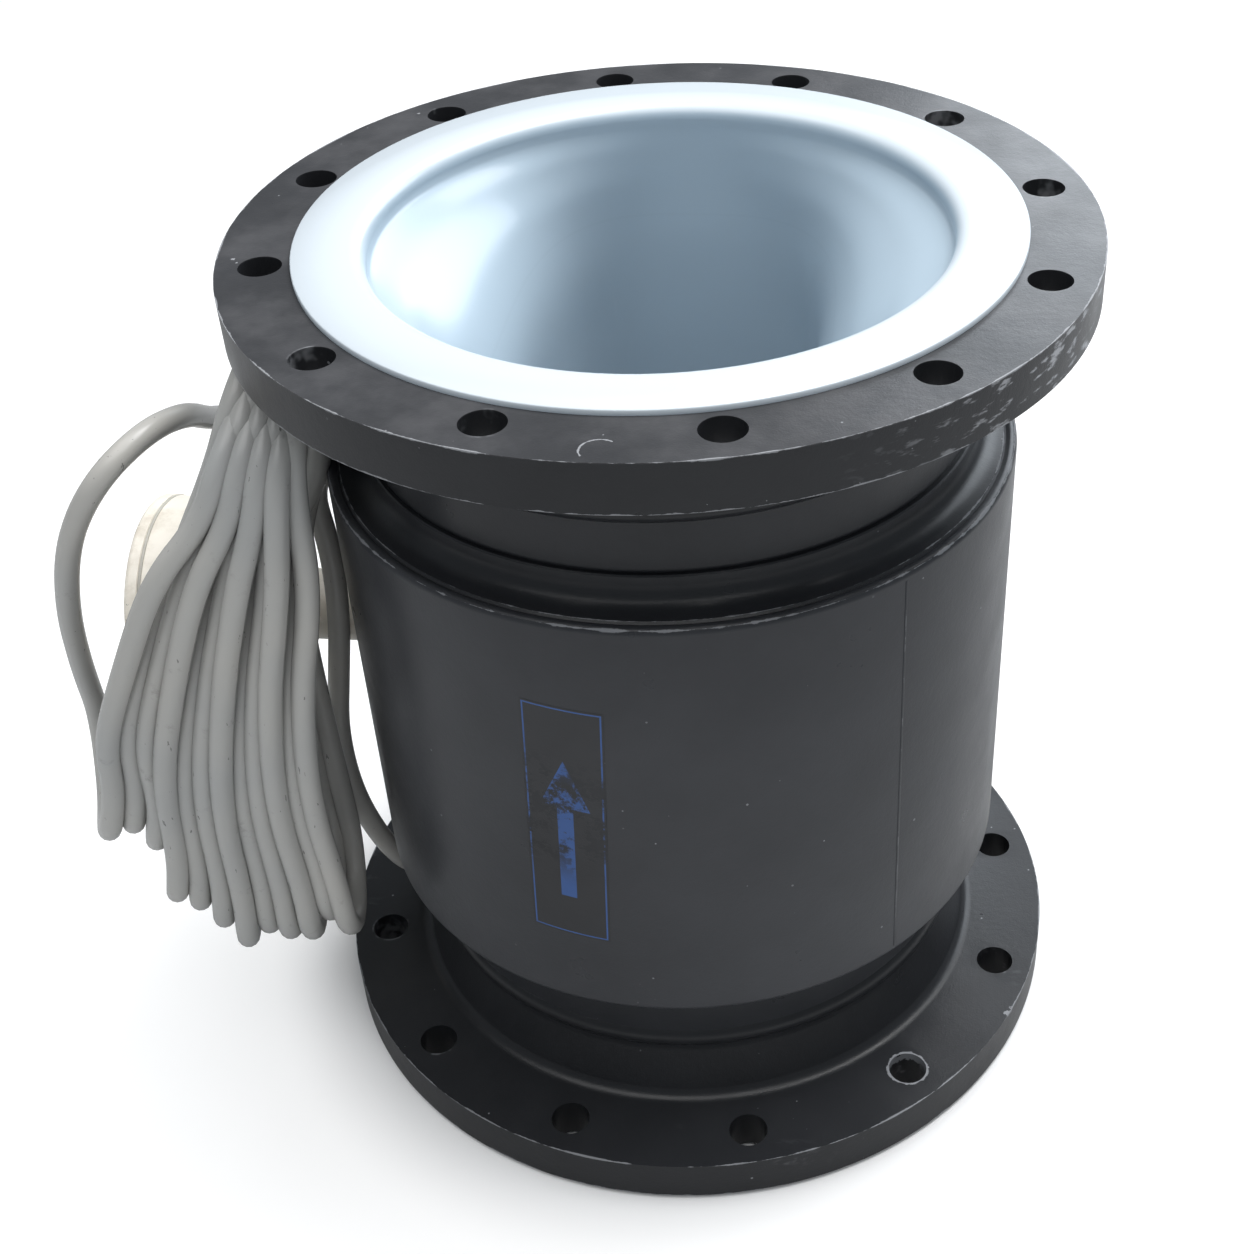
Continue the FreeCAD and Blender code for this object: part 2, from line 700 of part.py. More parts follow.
def make_gland_body():
    """Gland body with its thread in the boss and a socket for the seal."""
    body = new_body("gland_body")
    blank = new_sketch(body, "hexagon", "XY_Plane")
    hexagon(blank, "gland_flats")
    pad(body, blank, "gland_hex")
    bore_r = f"({CABLE_R} + clearance)"
    socket_r = f"({THREAD_R} - gland_thread_wall)"
    revolve(body, "shank", [
        (bore_r, "-gland_shank"), (THREAD_R, "-gland_shank"), (THREAD_R, "gland_reach"), (socket_r, "gland_reach"),
        (socket_r, "gland_socket"), (bore_r, "gland_socket")])
    bore = new_sketch(body, "bore", "XY_Plane")
    circle(bore, bore_r)
    pocket(body, bore, "gland_socket", reverse=True)
    return stand(body, "1")


def make_gland_seal():
    """Rubber ring that grips the cable."""
    body = new_body("gland_seal")
    inner = f"({CABLE_R} + clearance / 3)"
    outer = f"({THREAD_R} - gland_thread_wall)"
    top = "(gland_socket + seal_height)"
    revolve(body, "profile", [(inner, "gland_socket"), (outer, "gland_socket"), (outer, top), (inner, top)])
    return stand(body, "1")


def make_gland_nut():
    """Domed nut that presses the seal."""
    body = new_body("gland_nut")
    low = "(gland_hex + nut_gap)"
    hex_top = f"({low} + nut_hex)"
    crown = f"({low} + nut_height)"
    thread_r = f"({THREAD_R} + clearance * 2 / 3)"
    mouth_r = f"({CABLE_R} + nut_play)"
    blank = new_sketch(body, "hexagon", "XY_Plane", low)
    hexagon(blank, "gland_flats")
    pad(body, blank, "nut_hex")
    roof = "(gland_socket + seal_height + nut_play)"
    revolve(body, "dome", [
        (thread_r, low), ("gland_flats / 2 - 0.4", hex_top), ("gland_flats / 2 - 1", f"{hex_top} + nut_dome"),
        ("gland_flats / 2 - 3", f"{hex_top} + 2 * nut_dome"), (f"{CABLE_R} + 1.6", crown), (mouth_r, crown),
        (mouth_r, roof), (thread_r, roof)])
    bore = new_sketch(body, "bore", "XY_Plane", low)
    circle(bore, thread_r)
    pocket(body, bore, "nut_hex + 1", reverse=True)
    return stand(body, "1")


def make_blanking_plug():
    """Solid plug in the unused entry."""
    body = new_body("blanking_plug")
    blank = new_sketch(body, "hexagon", "XY_Plane")
    hexagon(blank, "gland_flats")
    pad(body, blank, "plug_hex")
    crown = "(plug_hex + plug_crown)"
    revolve(body, "shank", [("0", "-gland_shank"), (THREAD_R, "-gland_shank"), (THREAD_R, "plug_hex"),
                            (f"{THREAD_R} - plug_crown", crown), ("0", crown)])
    return stand(body, "-1")


# ---------------------------------------------------------------- cable
LEAD_ROUTE = [      # out of the gland, over in a free loop and down into the hank
    (-256, 18, 344), (-256, 18, 368), (-253, -18, 388), (-248, -54, 413), (-254, -92, 425), (-275, -117, 410),
    (-301, -113, 370), (-320, -100, 316), (-334, -79, 258), (-343, -60, 208), (-336, -62, 174)]
TAIL_ROUTE = [      # from the top of the hank down beside the housing and round on the lower flange
    (-184, -66, 440), (-193, -42, 402), (-197, -33, 356), (-193, -30, 312), (-194, -34, 268), (-201, -34, 226), (-208, -36, 182),
    (-205, -40, 138), (-195, -38, 98), (-184, -26, 62), (-181, 2, 37), (-175, 46, 36), (-152, 98, 36)]
HANK_SIDE = [       # the hank's outline seen from the front
    (-168, 466), (-202, 466), (-254, 380), (-288, 312), (-320, 246), (-342, 184), (-348, 146), (-336, 128),
    (-300, 74), (-262, 46), (-234, 44), (-208, 62), (-186, 110), (-172, 190), (-160, 290), (-150, 400), (-150, 440)]
HANK_FRONT = [(-106, 466), (-124, 440), (-150, 380), (-158, 312), (-152, 246), (-142, 180), (-126, 100), (-112, 44)]
HANK_BACK = [(-20, 466), (-20, 410), (-44, 372), (-68, 322), (-68, 178), (-40, 150), (-38, 80), (-56, 44)]
HANK_TOP, HANK_FOOT, HANK_REACH = 480, 30, 400      # past the outline on every side


def cord(label, route, hank):
    """A round cord on straight runs joined by tangent arcs, cut where the hank takes over."""
    points = [Vector(*spot) for spot in route]
    radius = size(CABLE_R)
    edges = []
    start = points[0]
    length = 0
    for before, corner, after in zip(points, points[1:], points[2:]):
        into = (corner - before).normalize()
        out = (after - corner).normalize()
        turn = into.getAngle(out)
        reach = 0.45 * min((corner - before).Length, (after - corner).Length)
        bend = reach / math.tan(turn / 2)
        centre = corner + (out - into).normalize() * (bend / math.cos(turn / 2))
        first = corner - into * reach
        last = corner + out * reach
        middle = centre + (corner - centre).normalize() * bend
        edges.append(Part.LineSegment(start, first).toShape())
        edges.append(Part.Arc(first, middle, last).toShape())
        length += (first - start).Length + bend * turn
        start = last
        print(f"{label} turn {math.degrees(turn):4.0f} deg, radius {bend:6.0f}")
    edges.append(Part.LineSegment(start, points[-1]).toShape())
    length += (points[-1] - start).Length
    section = Part.Wire([Part.Circle(points[0], points[1] - points[0], radius).toShape()])
    tube = Part.Wire(edges).makePipeShell([section], True, False)
    print(f"{label} length {length:.0f}, volume over section and length "
          f"{tube.Volume / (math.pi * radius ** 2 * length):.4f}")
    rest = tube.cut(hank).Solids
    return shaped(label, max(rest, key=lambda piece: piece.Volume))


def make_hank():
    """Outer shape of the hank: its front outline, trimmed to its depth and to what it leans on."""
    body = new_body("cable_hank")
    side = new_sketch(body, "side", "XZ_Plane")
    outline(side, HANK_SIDE)
    pad(body, side, HANK_REACH, both=True)
    for name, edge, away in (("front", HANK_FRONT, -HANK_REACH), ("back", HANK_BACK, HANK_REACH)):
        trim = new_sketch(body, name, "YZ_Plane")
        outline(trim, [(away, HANK_TOP), (edge[0][0], HANK_TOP)] + edge + [(edge[-1][0], HANK_FOOT), (away, HANK_FOOT)])
        pocket(body, trim, 2 * HANK_REACH, both=True)
    top = f"({SHELL_LOW} + shell_height)"
    collar = f"({PIPE_R} + collar_wall)"
    hub_end = "(face_to_face - hub_height)"
    room = "clearance"
    revolve(body, "housing_room", [
        ("0", HANK_FOOT), (f"{SHELL_R} + {room}", HANK_FOOT), (f"{SHELL_R} + {room}", f"{top} + {room}"),
        (f"{collar} + collar_radius + {room}", f"{top} + {room}"), (f"{collar} + {room}", f"{top} + collar_radius + {room}"),
        (f"{collar} + {room}", hub_end), (f"{HUB_R} + {room}", f"{hub_end} + hub_land"),
        (f"{HUB_R} + {room}", HANK_TOP), ("0", HANK_TOP)], cut=True)
    return body


# ---------------------------------------------------------------- build
SUBPARTS = [
    make_flange("bottom_flange", False), make_flange("top_flange", True),
    make_neck_pipe("bottom_neck_pipe", False), make_neck_pipe("top_neck_pipe", True),
    shaped("measuring_duct", make_duct()), shaped("liner", make_liner()),
    make_shell(), make_end_ring("bottom_end_ring", False), make_end_ring("top_end_ring", True),
    make_pole("pole_right", False), make_pole("pole_left", True),
    make_coil("field_coil_right", False), make_coil("field_coil_left", True), make_yoke(),
]
for side, to_back in (("front", False), ("back", True)):
    SUBPARTS += [make_electrode(side, to_back), make_bush(side, to_back),
                 make_washer(side, to_back), make_electrode_nut(side, to_back)]
SUBPARTS += [
    make_box_neck(), make_box_body(), make_cover(), make_gasket(), make_terminal_block(), make_terminal_screws(),
    make_gland_body(), make_gland_seal(), make_gland_nut(), make_blanking_plug(),
]

HANK = make_hank()
SUBPARTS += [HANK, cord("cable_lead", LEAD_ROUTE, HANK.Shape), cord("cable_tail", TAIL_ROUTE, HANK.Shape)]

doc.recompute()
for item in doc.Objects:
    if "Invalid" in item.State or "Error" in item.State:
        raise RuntimeError(f"{item.Label} failed: {item.State}")
for item in SUBPARTS:
    if item.Shape.isNull() or not item.Shape.isValid():
        raise RuntimeError(f"{item.Label} has no valid shape")

os.makedirs("parts", exist_ok=True)
for item in SUBPARTS:
    item.Shape.exportStep(f"parts/{item.Label}.step")
    box = item.Shape.BoundBox
    print(f"{item.Label:22} solids {len(item.Shape.Solids)}  volume {item.Shape.Volume:12.0f}  "
          f"x {box.XMin:7.1f} {box.XMax:7.1f}  y {box.YMin:7.1f} {box.YMax:7.1f}  z {box.ZMin:7.1f} {box.ZMax:7.1f}")
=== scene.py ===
"""Looks of the electromagnetic flow sensor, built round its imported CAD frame."""

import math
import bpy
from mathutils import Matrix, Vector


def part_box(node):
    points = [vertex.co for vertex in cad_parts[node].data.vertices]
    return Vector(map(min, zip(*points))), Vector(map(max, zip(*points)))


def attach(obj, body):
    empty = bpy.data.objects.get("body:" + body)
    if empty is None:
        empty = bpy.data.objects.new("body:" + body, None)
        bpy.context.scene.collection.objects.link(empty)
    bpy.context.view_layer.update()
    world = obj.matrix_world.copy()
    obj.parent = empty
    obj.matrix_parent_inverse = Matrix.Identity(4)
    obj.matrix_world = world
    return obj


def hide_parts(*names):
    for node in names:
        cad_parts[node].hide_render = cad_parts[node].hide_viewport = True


bl_info = {
    "name": "Flow Sensor Looks",
    "version": (1, 0, 0),
    "blender": (4, 5, 0),
    "location": "View3D > Sidebar > Flow Sensor",
    "description": "Builds the visible pieces, finishes and studio of a lined flange flow sensor",
    "category": "Object",
}

import bmesh
import bpy
from bpy.props import FloatProperty, FloatVectorProperty, IntProperty, PointerProperty
from mathutils import Matrix, Vector

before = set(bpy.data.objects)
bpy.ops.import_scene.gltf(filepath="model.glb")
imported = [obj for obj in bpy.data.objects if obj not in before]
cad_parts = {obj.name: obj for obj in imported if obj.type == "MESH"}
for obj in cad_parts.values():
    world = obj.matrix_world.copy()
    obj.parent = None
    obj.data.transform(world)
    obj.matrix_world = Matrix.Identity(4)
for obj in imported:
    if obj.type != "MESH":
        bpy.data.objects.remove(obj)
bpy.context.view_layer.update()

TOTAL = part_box("liner")[1].z                    # over the two liner faces
RIM_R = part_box("top_flange")[1].x
FACE_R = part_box("liner")[1].x
SHELL_LOW, SHELL_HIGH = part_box("bottom_end_ring")[0].z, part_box("top_end_ring")[1].z
BOX_AXIS_Z = TOTAL / 2
AXIS_Z = Vector((0, 0, 1))
ORIGIN = Vector()
WELD = 1e-6                     # corners nearer than this are one
SHARP_ANGLE = 35                # degrees; edges that turn by more are shaded sharp
NECK_BORE = 0.0212              # radius that the box neck fills in the shell and in the box
ENTRY_X, ENTRY_Y = -0.256, 0.018    # the gland's axis; the plug's lies at the same place on the other side
WELD_HALF = 0.005               # the flange's part of the neck weld, past the hub
ENTRY_FLATS = 0.024             # across the flats of the gland's and the plug's hexagons
SEAM_TURN = math.radians(-45.25)    # where the rolled shell is welded
TRIM = 0.0012                   # chamfer inside the shell's ends and round on the end rings

# ---------------- the cable's way
# out of the gland, over in a free loop and down into the hank
LEAD_ROUTE = [
    (-0.256, 0.018, 0.344), (-0.256, 0.018, 0.368), (-0.253, -0.018, 0.388), (-0.248, -0.054, 0.413),
    (-0.254, -0.092, 0.425), (-0.275, -0.117, 0.410), (-0.301, -0.113, 0.370), (-0.320, -0.100, 0.316),
    (-0.334, -0.079, 0.258), (-0.343, -0.060, 0.208), (-0.336, -0.062, 0.174)]
# from the last crest of the hank down beside the housing and round on the lower flange
TAIL_ROUTE = [
    (-0.197, -0.033, 0.356), (-0.193, -0.030, 0.312), (-0.194, -0.034, 0.268), (-0.201, -0.034, 0.226),
    (-0.208, -0.036, 0.182), (-0.205, -0.040, 0.138), (-0.195, -0.038, 0.098), (-0.184, -0.026, 0.062),
    (-0.181, 0.002, 0.037), (-0.175, 0.046, 0.036), (-0.152, 0.098, 0.036)]
# one turn of the hank at its left edge and at its right edge: the fold at its foot, the front
# run up to the crest under the flange, the fold over the crest and the back run down again
LEFT_TURN = {
    "foot": (-0.3210, -0.095, 0.206), "foot_way": (-0.30, 0.0, -0.95), "foot_back": (-0.35, 0.94, 0.0),
    "front": [(-0.298, -0.137, 0.258), (-0.271, -0.139, 0.315), (-0.245, -0.133, 0.368)],
    "crest": (-0.213, -0.078, 0.427), "crest_way": (0.38, 0.15, 0.91),
    "back": [(-0.234, -0.060, 0.355), (-0.268, -0.086, 0.305), (-0.304, -0.084, 0.262)]}
RIGHT_TURN = {
    "foot": (-0.195, -0.095, 0.136), "foot_way": (0.02, 0.0, -1.0), "foot_back": (-0.22, 0.97, 0.0),
    "front": [(-0.192, -0.134, 0.215), (-0.184, -0.136, 0.290), (-0.170, -0.128, 0.356)],
    "crest": (-0.172, -0.078, 0.418), "crest_way": (0.06, 0.20, 0.97),
    "back": [(-0.197, -0.056, 0.345), (-0.201, -0.064, 0.290), (-0.198, -0.057, 0.224)]}
CREST_BACK = (0.0, 1.0, 0.0)    # the way in which every crest leads over
LAYER_GAP = 0.011               # between the hank's three layers
CREST_DROP = 0.010              # one layer's crest below the next one's


def colour(name, about, default):
    return FloatVectorProperty(name=name, description=about, subtype="COLOR", size=3, min=0, max=1, default=default)


def length(name, about, millimetres):
    return FloatProperty(name=name, description=about, unit="LENGTH", subtype="DISTANCE", default=millimetres * 0.001)


class FlowSensorSizes(bpy.types.PropertyGroup):
    pipe_radius: length("Pipe radius", "Outside of the pipe that the flanges are welded to", 161.95)
    bore_radius: length("Bore radius", "Inside of the flanges and of the neck pipes", 156.35)
    liner_bore: length("Liner bore", "Inside of the liner's round ends", 148.35)
    flange_thick: length("Flange thickness", "Thickness of each flange plate", 26)
    hub_radius: length("Hub radius", "Hub where it meets the flange plate", 171)
    hub_height: length("Hub height", "From the liner face to the neck weld", 68)
    bolt_circle: length("Bolt circle radius", "Radius that the bolt holes lie on", 200)
    bolt_hole: length("Bolt hole radius", "Radius of one bolt hole", 11)
    bolt_count: IntProperty(name="Bolt holes", description="Holes in each flange", default=12, min=4, max=24)
    liner_wall: length("Liner wall", "Thickness of the liner and of its raised faces", 3)
    lip_radius: length("Lip radius", "Rounding between a liner face and the bore", 8)
    shell_radius: length("Shell radius", "Outside of the housing", 186)
    cable_diameter: length("Cable diameter", "Outside of the signal cable", 13)
    hank_turns: IntProperty(name="Hank turns", description="Turns of cable in the hank", default=12, min=4, max=20)
    fold_radius: length("Fold radius", "Bend of the cable at the hank's foot and crest", 39)
    hank_sag: length("Hank sag", "How far the middle turns hang below the outer ones", 44)


class FlowSensorColours(bpy.types.PropertyGroup):
    paint: colour("Charcoal paint", "Flanges and housing", (0.0185, 0.0195, 0.022))
    # also the colour of the painted highlights along the rounded edges and on the right of the upper rim
    bare: colour("Rubbed paint", "Where the paint is scuffed", (0.36, 0.37, 0.39))
    # the liner's colour is painted darker than the face's: painted shade in the bore, painted light on the flat faces
    liner: colour("Liner", "Moulded liner", (0.375, 0.465, 0.54))
    face: colour("Liner face", "Cleaner flat face of the liner", (0.545, 0.60, 0.645))
    enamel: colour("Box enamel", "Junction box", (0.84, 0.79, 0.70))
    grime: colour("Box grime", "Dust baked on the box", (0.42, 0.35, 0.25))
    sheath: colour("Cable sheath", "Grey sheath of the cable", (0.425, 0.42, 0.405))
    label: colour("Label blue", "Line round the flow label", (0.03, 0.10, 0.32))
    floor: colour("Floor", "Studio floor", (0.90, 0.90, 0.90))


def sizes():
    return bpy.context.scene.flow_sensor_sizes


def colours():
    return bpy.context.scene.flow_sensor_colours


# ---------------- mesh helpers
def turned(bm, profile, steps, axis=AXIS_Z, centre=ORIGIN):
    """Spins a closed profile of (radius, height) corners about the axis."""
    side = Vector((1, 0, 0)) if abs(axis.x) < 0.5 else Vector((0, 0, 1))
    verts = [bm.verts.new(centre + side * radius + axis * height) for radius, height in profile]
    edges = [bm.edges.new((verts[i - 1], verts[i])) for i in range(len(verts))]
    bmesh.ops.spin(bm, geom=verts + edges, cent=centre, axis=axis, angle=2 * math.pi, steps=steps, use_merge=True)
    bmesh.ops.remove_doubles(bm, verts=bm.verts, dist=WELD)
    bmesh.ops.recalc_face_normals(bm, faces=bm.faces)


def arc(centre_r, centre_z, radius, start, end, count=5):
    """Corners of a quarter-round in a profile, angles in degrees."""
    turns = [math.radians(start + (end - start) * i / count) for i in range(count + 1)]
    return [(centre_r + radius * math.cos(turn), centre_z + radius * math.sin(turn)) for turn in turns]


def bar(bm, place, radius, depth, segments=48, far_radius=None):
    """A closed round or many-sided bar along the place's own Z."""
    return bmesh.ops.create_cone(bm, cap_ends=True, segments=segments, radius1=radius,
                                 radius2=far_radius or radius, depth=depth, matrix=place)


def bevel(bm, edges, width):
    bmesh.ops.bevel(bm, geom=edges, offset=width, segments=2, profile=0.5, affect="EDGES", material=-1)


def edges_of(made):
    """Edges at the corners that a mesh operator made, each once and always in the same order."""
    return list(dict.fromkeys(edge for vert in made["verts"] for edge in vert.link_edges))


def linked(name, data):
    """A new object at the origin that shows the data."""
    thing = bpy.data.objects.new(name, data)
    bpy.context.scene.collection.objects.link(thing)
    return thing


def mesh_from(name, bm):
    mesh = bpy.data.meshes.new(name)
    bm.to_mesh(mesh)
    bm.free()
    return mesh


def shade_smooth(mesh, below=SHARP_ANGLE):
    """Smooth shading, sharp at edges that turn by more than the angle in degrees."""
    mesh.polygons.foreach_set("use_smooth", [True] * len(mesh.polygons))
    mesh.set_sharp_from_angle(angle=math.radians(below))


def dress(mesh, material):
    mesh.materials.clear()
    mesh.materials.append(material)


def add_object(name, bm, material, smooth_below=SHARP_ANGLE):
    mesh = mesh_from(name, bm)
    dress(mesh, material)
    shade_smooth(mesh, smooth_below)
    return linked(name, mesh)


def evaluated_mesh(thing):
    """A plain mesh of the object with its modifiers and curve settings applied."""
    bpy.context.view_layer.update()
    return bpy.data.meshes.new_from_object(thing.evaluated_get(bpy.context.evaluated_depsgraph_get()))


def stands_for(thing, slot, *nodes):
    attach(thing, "root")
    if nodes:
        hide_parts(*nodes)
    return thing


def turned_piece(name, profile, steps, material, slot, node, axis=AXIS_Z, centre=ORIGIN):
    """A piece that is one closed profile spun about the axis."""
    bm = bmesh.new()
    turned(bm, profile, steps, axis, centre)
    return stands_for(add_object(name, bm, material), slot, node)


def cut_away(thing, cutter_bm):
    """Takes the cutter out of a piece and leaves a plain mesh."""
    cutter = linked("cutter", mesh_from("cutter", cutter_bm))
    boolean = thing.modifiers.new("cut", "BOOLEAN")
    boolean.object = cutter
    boolean.operation = "DIFFERENCE"
    boolean.solver = "EXACT"
    found = evaluated_mesh(thing)
    thing.modifiers.clear()
    thing.data = found
    bpy.data.objects.remove(cutter)


# ---------------- node helpers
class Tree:
    """Short ways to add nodes to a material or a group."""

    def __init__(self, tree):
        self.tree = tree

    def node(self, kind, **settings):
        node = self.tree.nodes.new(kind)
        for name, value in settings.items():
            setattr(node, name, value)
        return node

    def feed(self, socket, value):
        if isinstance(value, bpy.types.NodeSocket):
            self.tree.links.new(value, socket)
        else:
            socket.default_value = value

    def fill(self, sockets, **values):
        """Feeds sockets by name, with _ for a space."""
        for name, value in values.items():
            self.feed(sockets[name.replace("_", " ")], value)

    def math(self, operation, *values, clamp=False):
        node = self.node("ShaderNodeMath", operation=operation, use_clamp=clamp)
        for socket, value in zip(node.inputs, values):
            self.feed(socket, value)
        return node.outputs[0]

    def fold(self, operation, values):
        """Folds several values into one with a two-input operation."""
        total = values[0]
        for value in values[1:]:
            total = self.math(operation, total, value)
        return total

    def times(self, *values):
        return self.fold("MULTIPLY", values)

    def plus(self, first, second):
        return self.math("ADD", first, second)

    def minus(self, first, second, clamp=False):
        return self.math("SUBTRACT", first, second, clamp=clamp)

    def gap(self, first, second):
        return self.math("ABSOLUTE", self.minus(first, second))

    def hypot(self, first, second):
        return self.math("SQRT", self.plus(self.times(first, first), self.times(second, second)))

    def vector(self, operation, *values):
        node = self.node("ShaderNodeVectorMath", operation=operation)
        for socket, value in zip(node.inputs, values):
            self.feed(socket, value)
        return node.outputs["Value" if operation == "LENGTH" else "Vector"]

    def mix(self, share, first, second):
        node = self.node("ShaderNodeMix", data_type="RGBA")
        self.feed(node.inputs[0], share)
        self.feed(node.inputs[6], first)
        self.feed(node.inputs[7], second)
        return node.outputs[2]

    def blend(self, share, first, second):
        """Mixes what two shader nodes give."""
        node = self.node("ShaderNodeMixShader")
        for socket, value in zip(node.inputs, (share, first.outputs[0], second.outputs[0])):
            self.feed(socket, value)
        return node.outputs[0]

    def span(self, value, low, high, to_low=0.0, to_high=1.0):
        node = self.node("ShaderNodeMapRange", interpolation_type="SMOOTHSTEP")
        for socket, number in zip(node.inputs, (value, low, high, to_low, to_high)):
            self.feed(socket, number)
        return node.outputs[0]

    def noise(self, vector, scale, detail=2.0, rough=0.5):
        node = self.node("ShaderNodeTexNoise")
        self.fill(node.inputs, Vector=vector, Scale=scale, Detail=detail, Roughness=rough)
        return node.outputs[0]

    def place(self):
        return self.node("ShaderNodeTexCoord").outputs["Object"]

    def split(self, vector):
        node = self.node("ShaderNodeSeparateXYZ")
        self.feed(node.inputs[0], vector)
        return node.outputs[0], node.outputs[1], node.outputs[2]

    def use(self, name, place, **values):
        """Adds the shared group of that name, made on first use."""
        found = bpy.data.node_groups.get(name) or GROUP_MAKERS[name]()
        node = self.node("ShaderNodeGroup", node_tree=found)
        self.fill(node.inputs, Vector=place, **values)
        return node.outputs


def new_group(name, numbers, vectors=(), **inputs):
    """An empty group fed by a Vector and by the inputs, each with its default."""
    group = bpy.data.node_groups.new(name, "ShaderNodeTree")
    group.interface.new_socket("Vector", in_out="INPUT", socket_type="NodeSocketVector")
    for label, default in inputs.items():
        kind = "NodeSocketFloat" if isinstance(default, float) else "NodeSocketVector"
        group.interface.new_socket(label, in_out="INPUT", socket_type=kind).default_value = default
    for labels, kind in ((numbers, "NodeSocketFloat"), (vectors, "NodeSocketVector")):
        for label in labels:
            group.interface.new_socket(label, in_out="OUTPUT", socket_type=kind)
    tree = Tree(group)
    return group, tree, tree.node("NodeGroupInput").outputs, tree.node("NodeGroupOutput").inputs


def grain_group():
    """Fine peel of sprayed paint with a few larger lumps."""
    group, tree, given, out = new_group("Paint Grain", ("Height", "Tone"), Grain=900.0)
    fine = tree.noise(given["Vector"], given["Grain"], 3.0, 0.6)
    coarse = tree.noise(given["Vector"], tree.times(given["Grain"], 0.28))
    tree.feed(out["Height"], tree.plus(tree.times(fine, 0.6), tree.times(coarse, 0.6)))
    tree.feed(out["Tone"], tree.noise(given["Vector"], 14.0, 4.0, 0.6))
    return group


def speck_group():
    """Small pale specks of dust and nicks, a few in each square of skin."""
    group, tree, given, out = new_group("Specks", ("Mask",), Spacing=110.0, Share=0.2)
    cells = tree.node("ShaderNodeTexVoronoi", feature="F1")
    tree.fill(cells.inputs, Vector=given["Vector"], Scale=given["Spacing"])
    red, green, blue = tree.split(cells.outputs["Color"])
    reach = tree.times(tree.math("POWER", green, 3.0), 0.09)
    near = tree.math("LESS_THAN", cells.outputs["Distance"], tree.plus(reach, 0.018))
    chosen = tree.math("LESS_THAN", red, given["Share"])
    tree.feed(out["Mask"], tree.times(near, chosen, tree.plus(blue, 0.2)))
    return group


def ring_wear_and_highlight_group():
    """Rubbed paint and a painted highlight along a round edge at a radius and a height."""
    group, tree, given, out = new_group("Ring Wear", ("Mask",), Radius=0.2, Height=0.0, Width=0.0015, Breaks=0.5)
    x, y, z = tree.split(given["Vector"])
    away = tree.hypot(tree.minus(tree.hypot(x, y), given["Radius"]), tree.minus(z, given["Height"]))
    patchy = tree.noise(given["Vector"], 38.0, 5.0, 0.7)
    low, high = tree.minus(given["Breaks"], 0.12), tree.plus(given["Breaks"], 0.12)
    reach = tree.times(given["Width"], tree.span(patchy, low, high, 0.0, 2.0))
    near = tree.minus(1.0, tree.math("DIVIDE", away, tree.plus(reach, 1e-5)), clamp=True)
    tree.feed(out["Mask"], tree.span(near, 0.0, 0.5))
    return group


def scuff_group():
    """Clouds of short fine scratches along one direction."""
    group, tree, given, out = new_group("Scuffs", ("Mask",), Stretch=(1.0, 1.0, 1.0), Patch=9.0, Amount=0.5)
    stretched = tree.vector("MULTIPLY", given["Vector"], given["Stretch"])
    lines = tree.span(tree.noise(stretched, 160.0, 3.0, 0.6), 0.55, 0.68)
    limit = tree.minus(1.0, given["Amount"])
    cloud = tree.span(tree.noise(given["Vector"], given["Patch"], 3.0, 0.6), limit, tree.plus(limit, 0.16))
    tree.feed(out["Mask"], tree.times(lines, cloud))
    return group


def polar_group():
    """Radius and azimuth about the meter's axis, and the distance from the nearest bolt hole's axis."""
    group, tree, given, out = new_group("Round The Axis", ("Radius", "Azimuth", "Hole"), Circle=0.2, Count=12.0)
    x, y = tree.split(given["Vector"])[:2]
    radius = tree.hypot(x, y)
    azimuth = tree.math("ARCTAN2", y, x)
    step = tree.math("DIVIDE", 2 * math.pi, given["Count"])
    turn = tree.math("MODULO", tree.plus(azimuth, 4 * math.pi), step)
    off = tree.minus(turn, tree.times(step, 0.5))
    along = tree.minus(tree.times(radius, tree.math("COSINE", off)), given["Circle"])
    across = tree.times(radius, tree.math("SINE", off))
    tree.feed(out["Radius"], radius)
    tree.feed(out["Azimuth"], azimuth)
    tree.feed(out["Hole"], tree.hypot(along, across))
    return group


def spot_group():
    """A ragged spot, or a ragged ring when the ring radius is more than nothing."""
    group, tree, given, out = new_group("Spot", ("Mask",), ("Side",), Centre=(0.0, 0.0, 0.0), Ring=0.0, Reach=0.003)
    side = tree.vector("SUBTRACT", given["Vector"], given["Centre"])
    away = tree.gap(tree.vector("LENGTH", side), given["Ring"])
    ragged = tree.span(tree.noise(given["Vector"], 260.0, 4.0, 0.7), 0.35, 0.65, 0.3, 1.3)
    reach = tree.times(given["Reach"], ragged)
    tree.feed(out["Mask"], tree.span(tree.math("DIVIDE", away, reach), 1.0, 0.75))
    tree.feed(out["Side"], side)
    return group


GROUP_MAKERS = {"Paint Grain": grain_group, "Specks": speck_group, "Ring Wear": ring_wear_and_highlight_group,
                "Scuffs": scuff_group, "Round The Axis": polar_group, "Spot": spot_group}


def new_material(name):
    material = bpy.data.materials.new(name)
    material.use_nodes = True
    tree = Tree(material.node_tree)
    return material, tree, material.node_tree.nodes["Principled BSDF"].inputs


def full(*rgb):
    return (*rgb, 1.0)


def tint(name, factor=1.0):
    """A colour of the panel for a socket; the factor is one number, or one for each channel."""
    factors = factor if isinstance(factor, tuple) else (factor,) * 3
    return full(*(channel * f for channel, f in zip(getattr(colours(), name), factors)))


def bump(tree, height, distance, strength=1.0):
    node = tree.node("ShaderNodeBump")
    tree.fill(node.inputs, Strength=strength, Distance=distance, Height=height)
    return node.outputs[0]


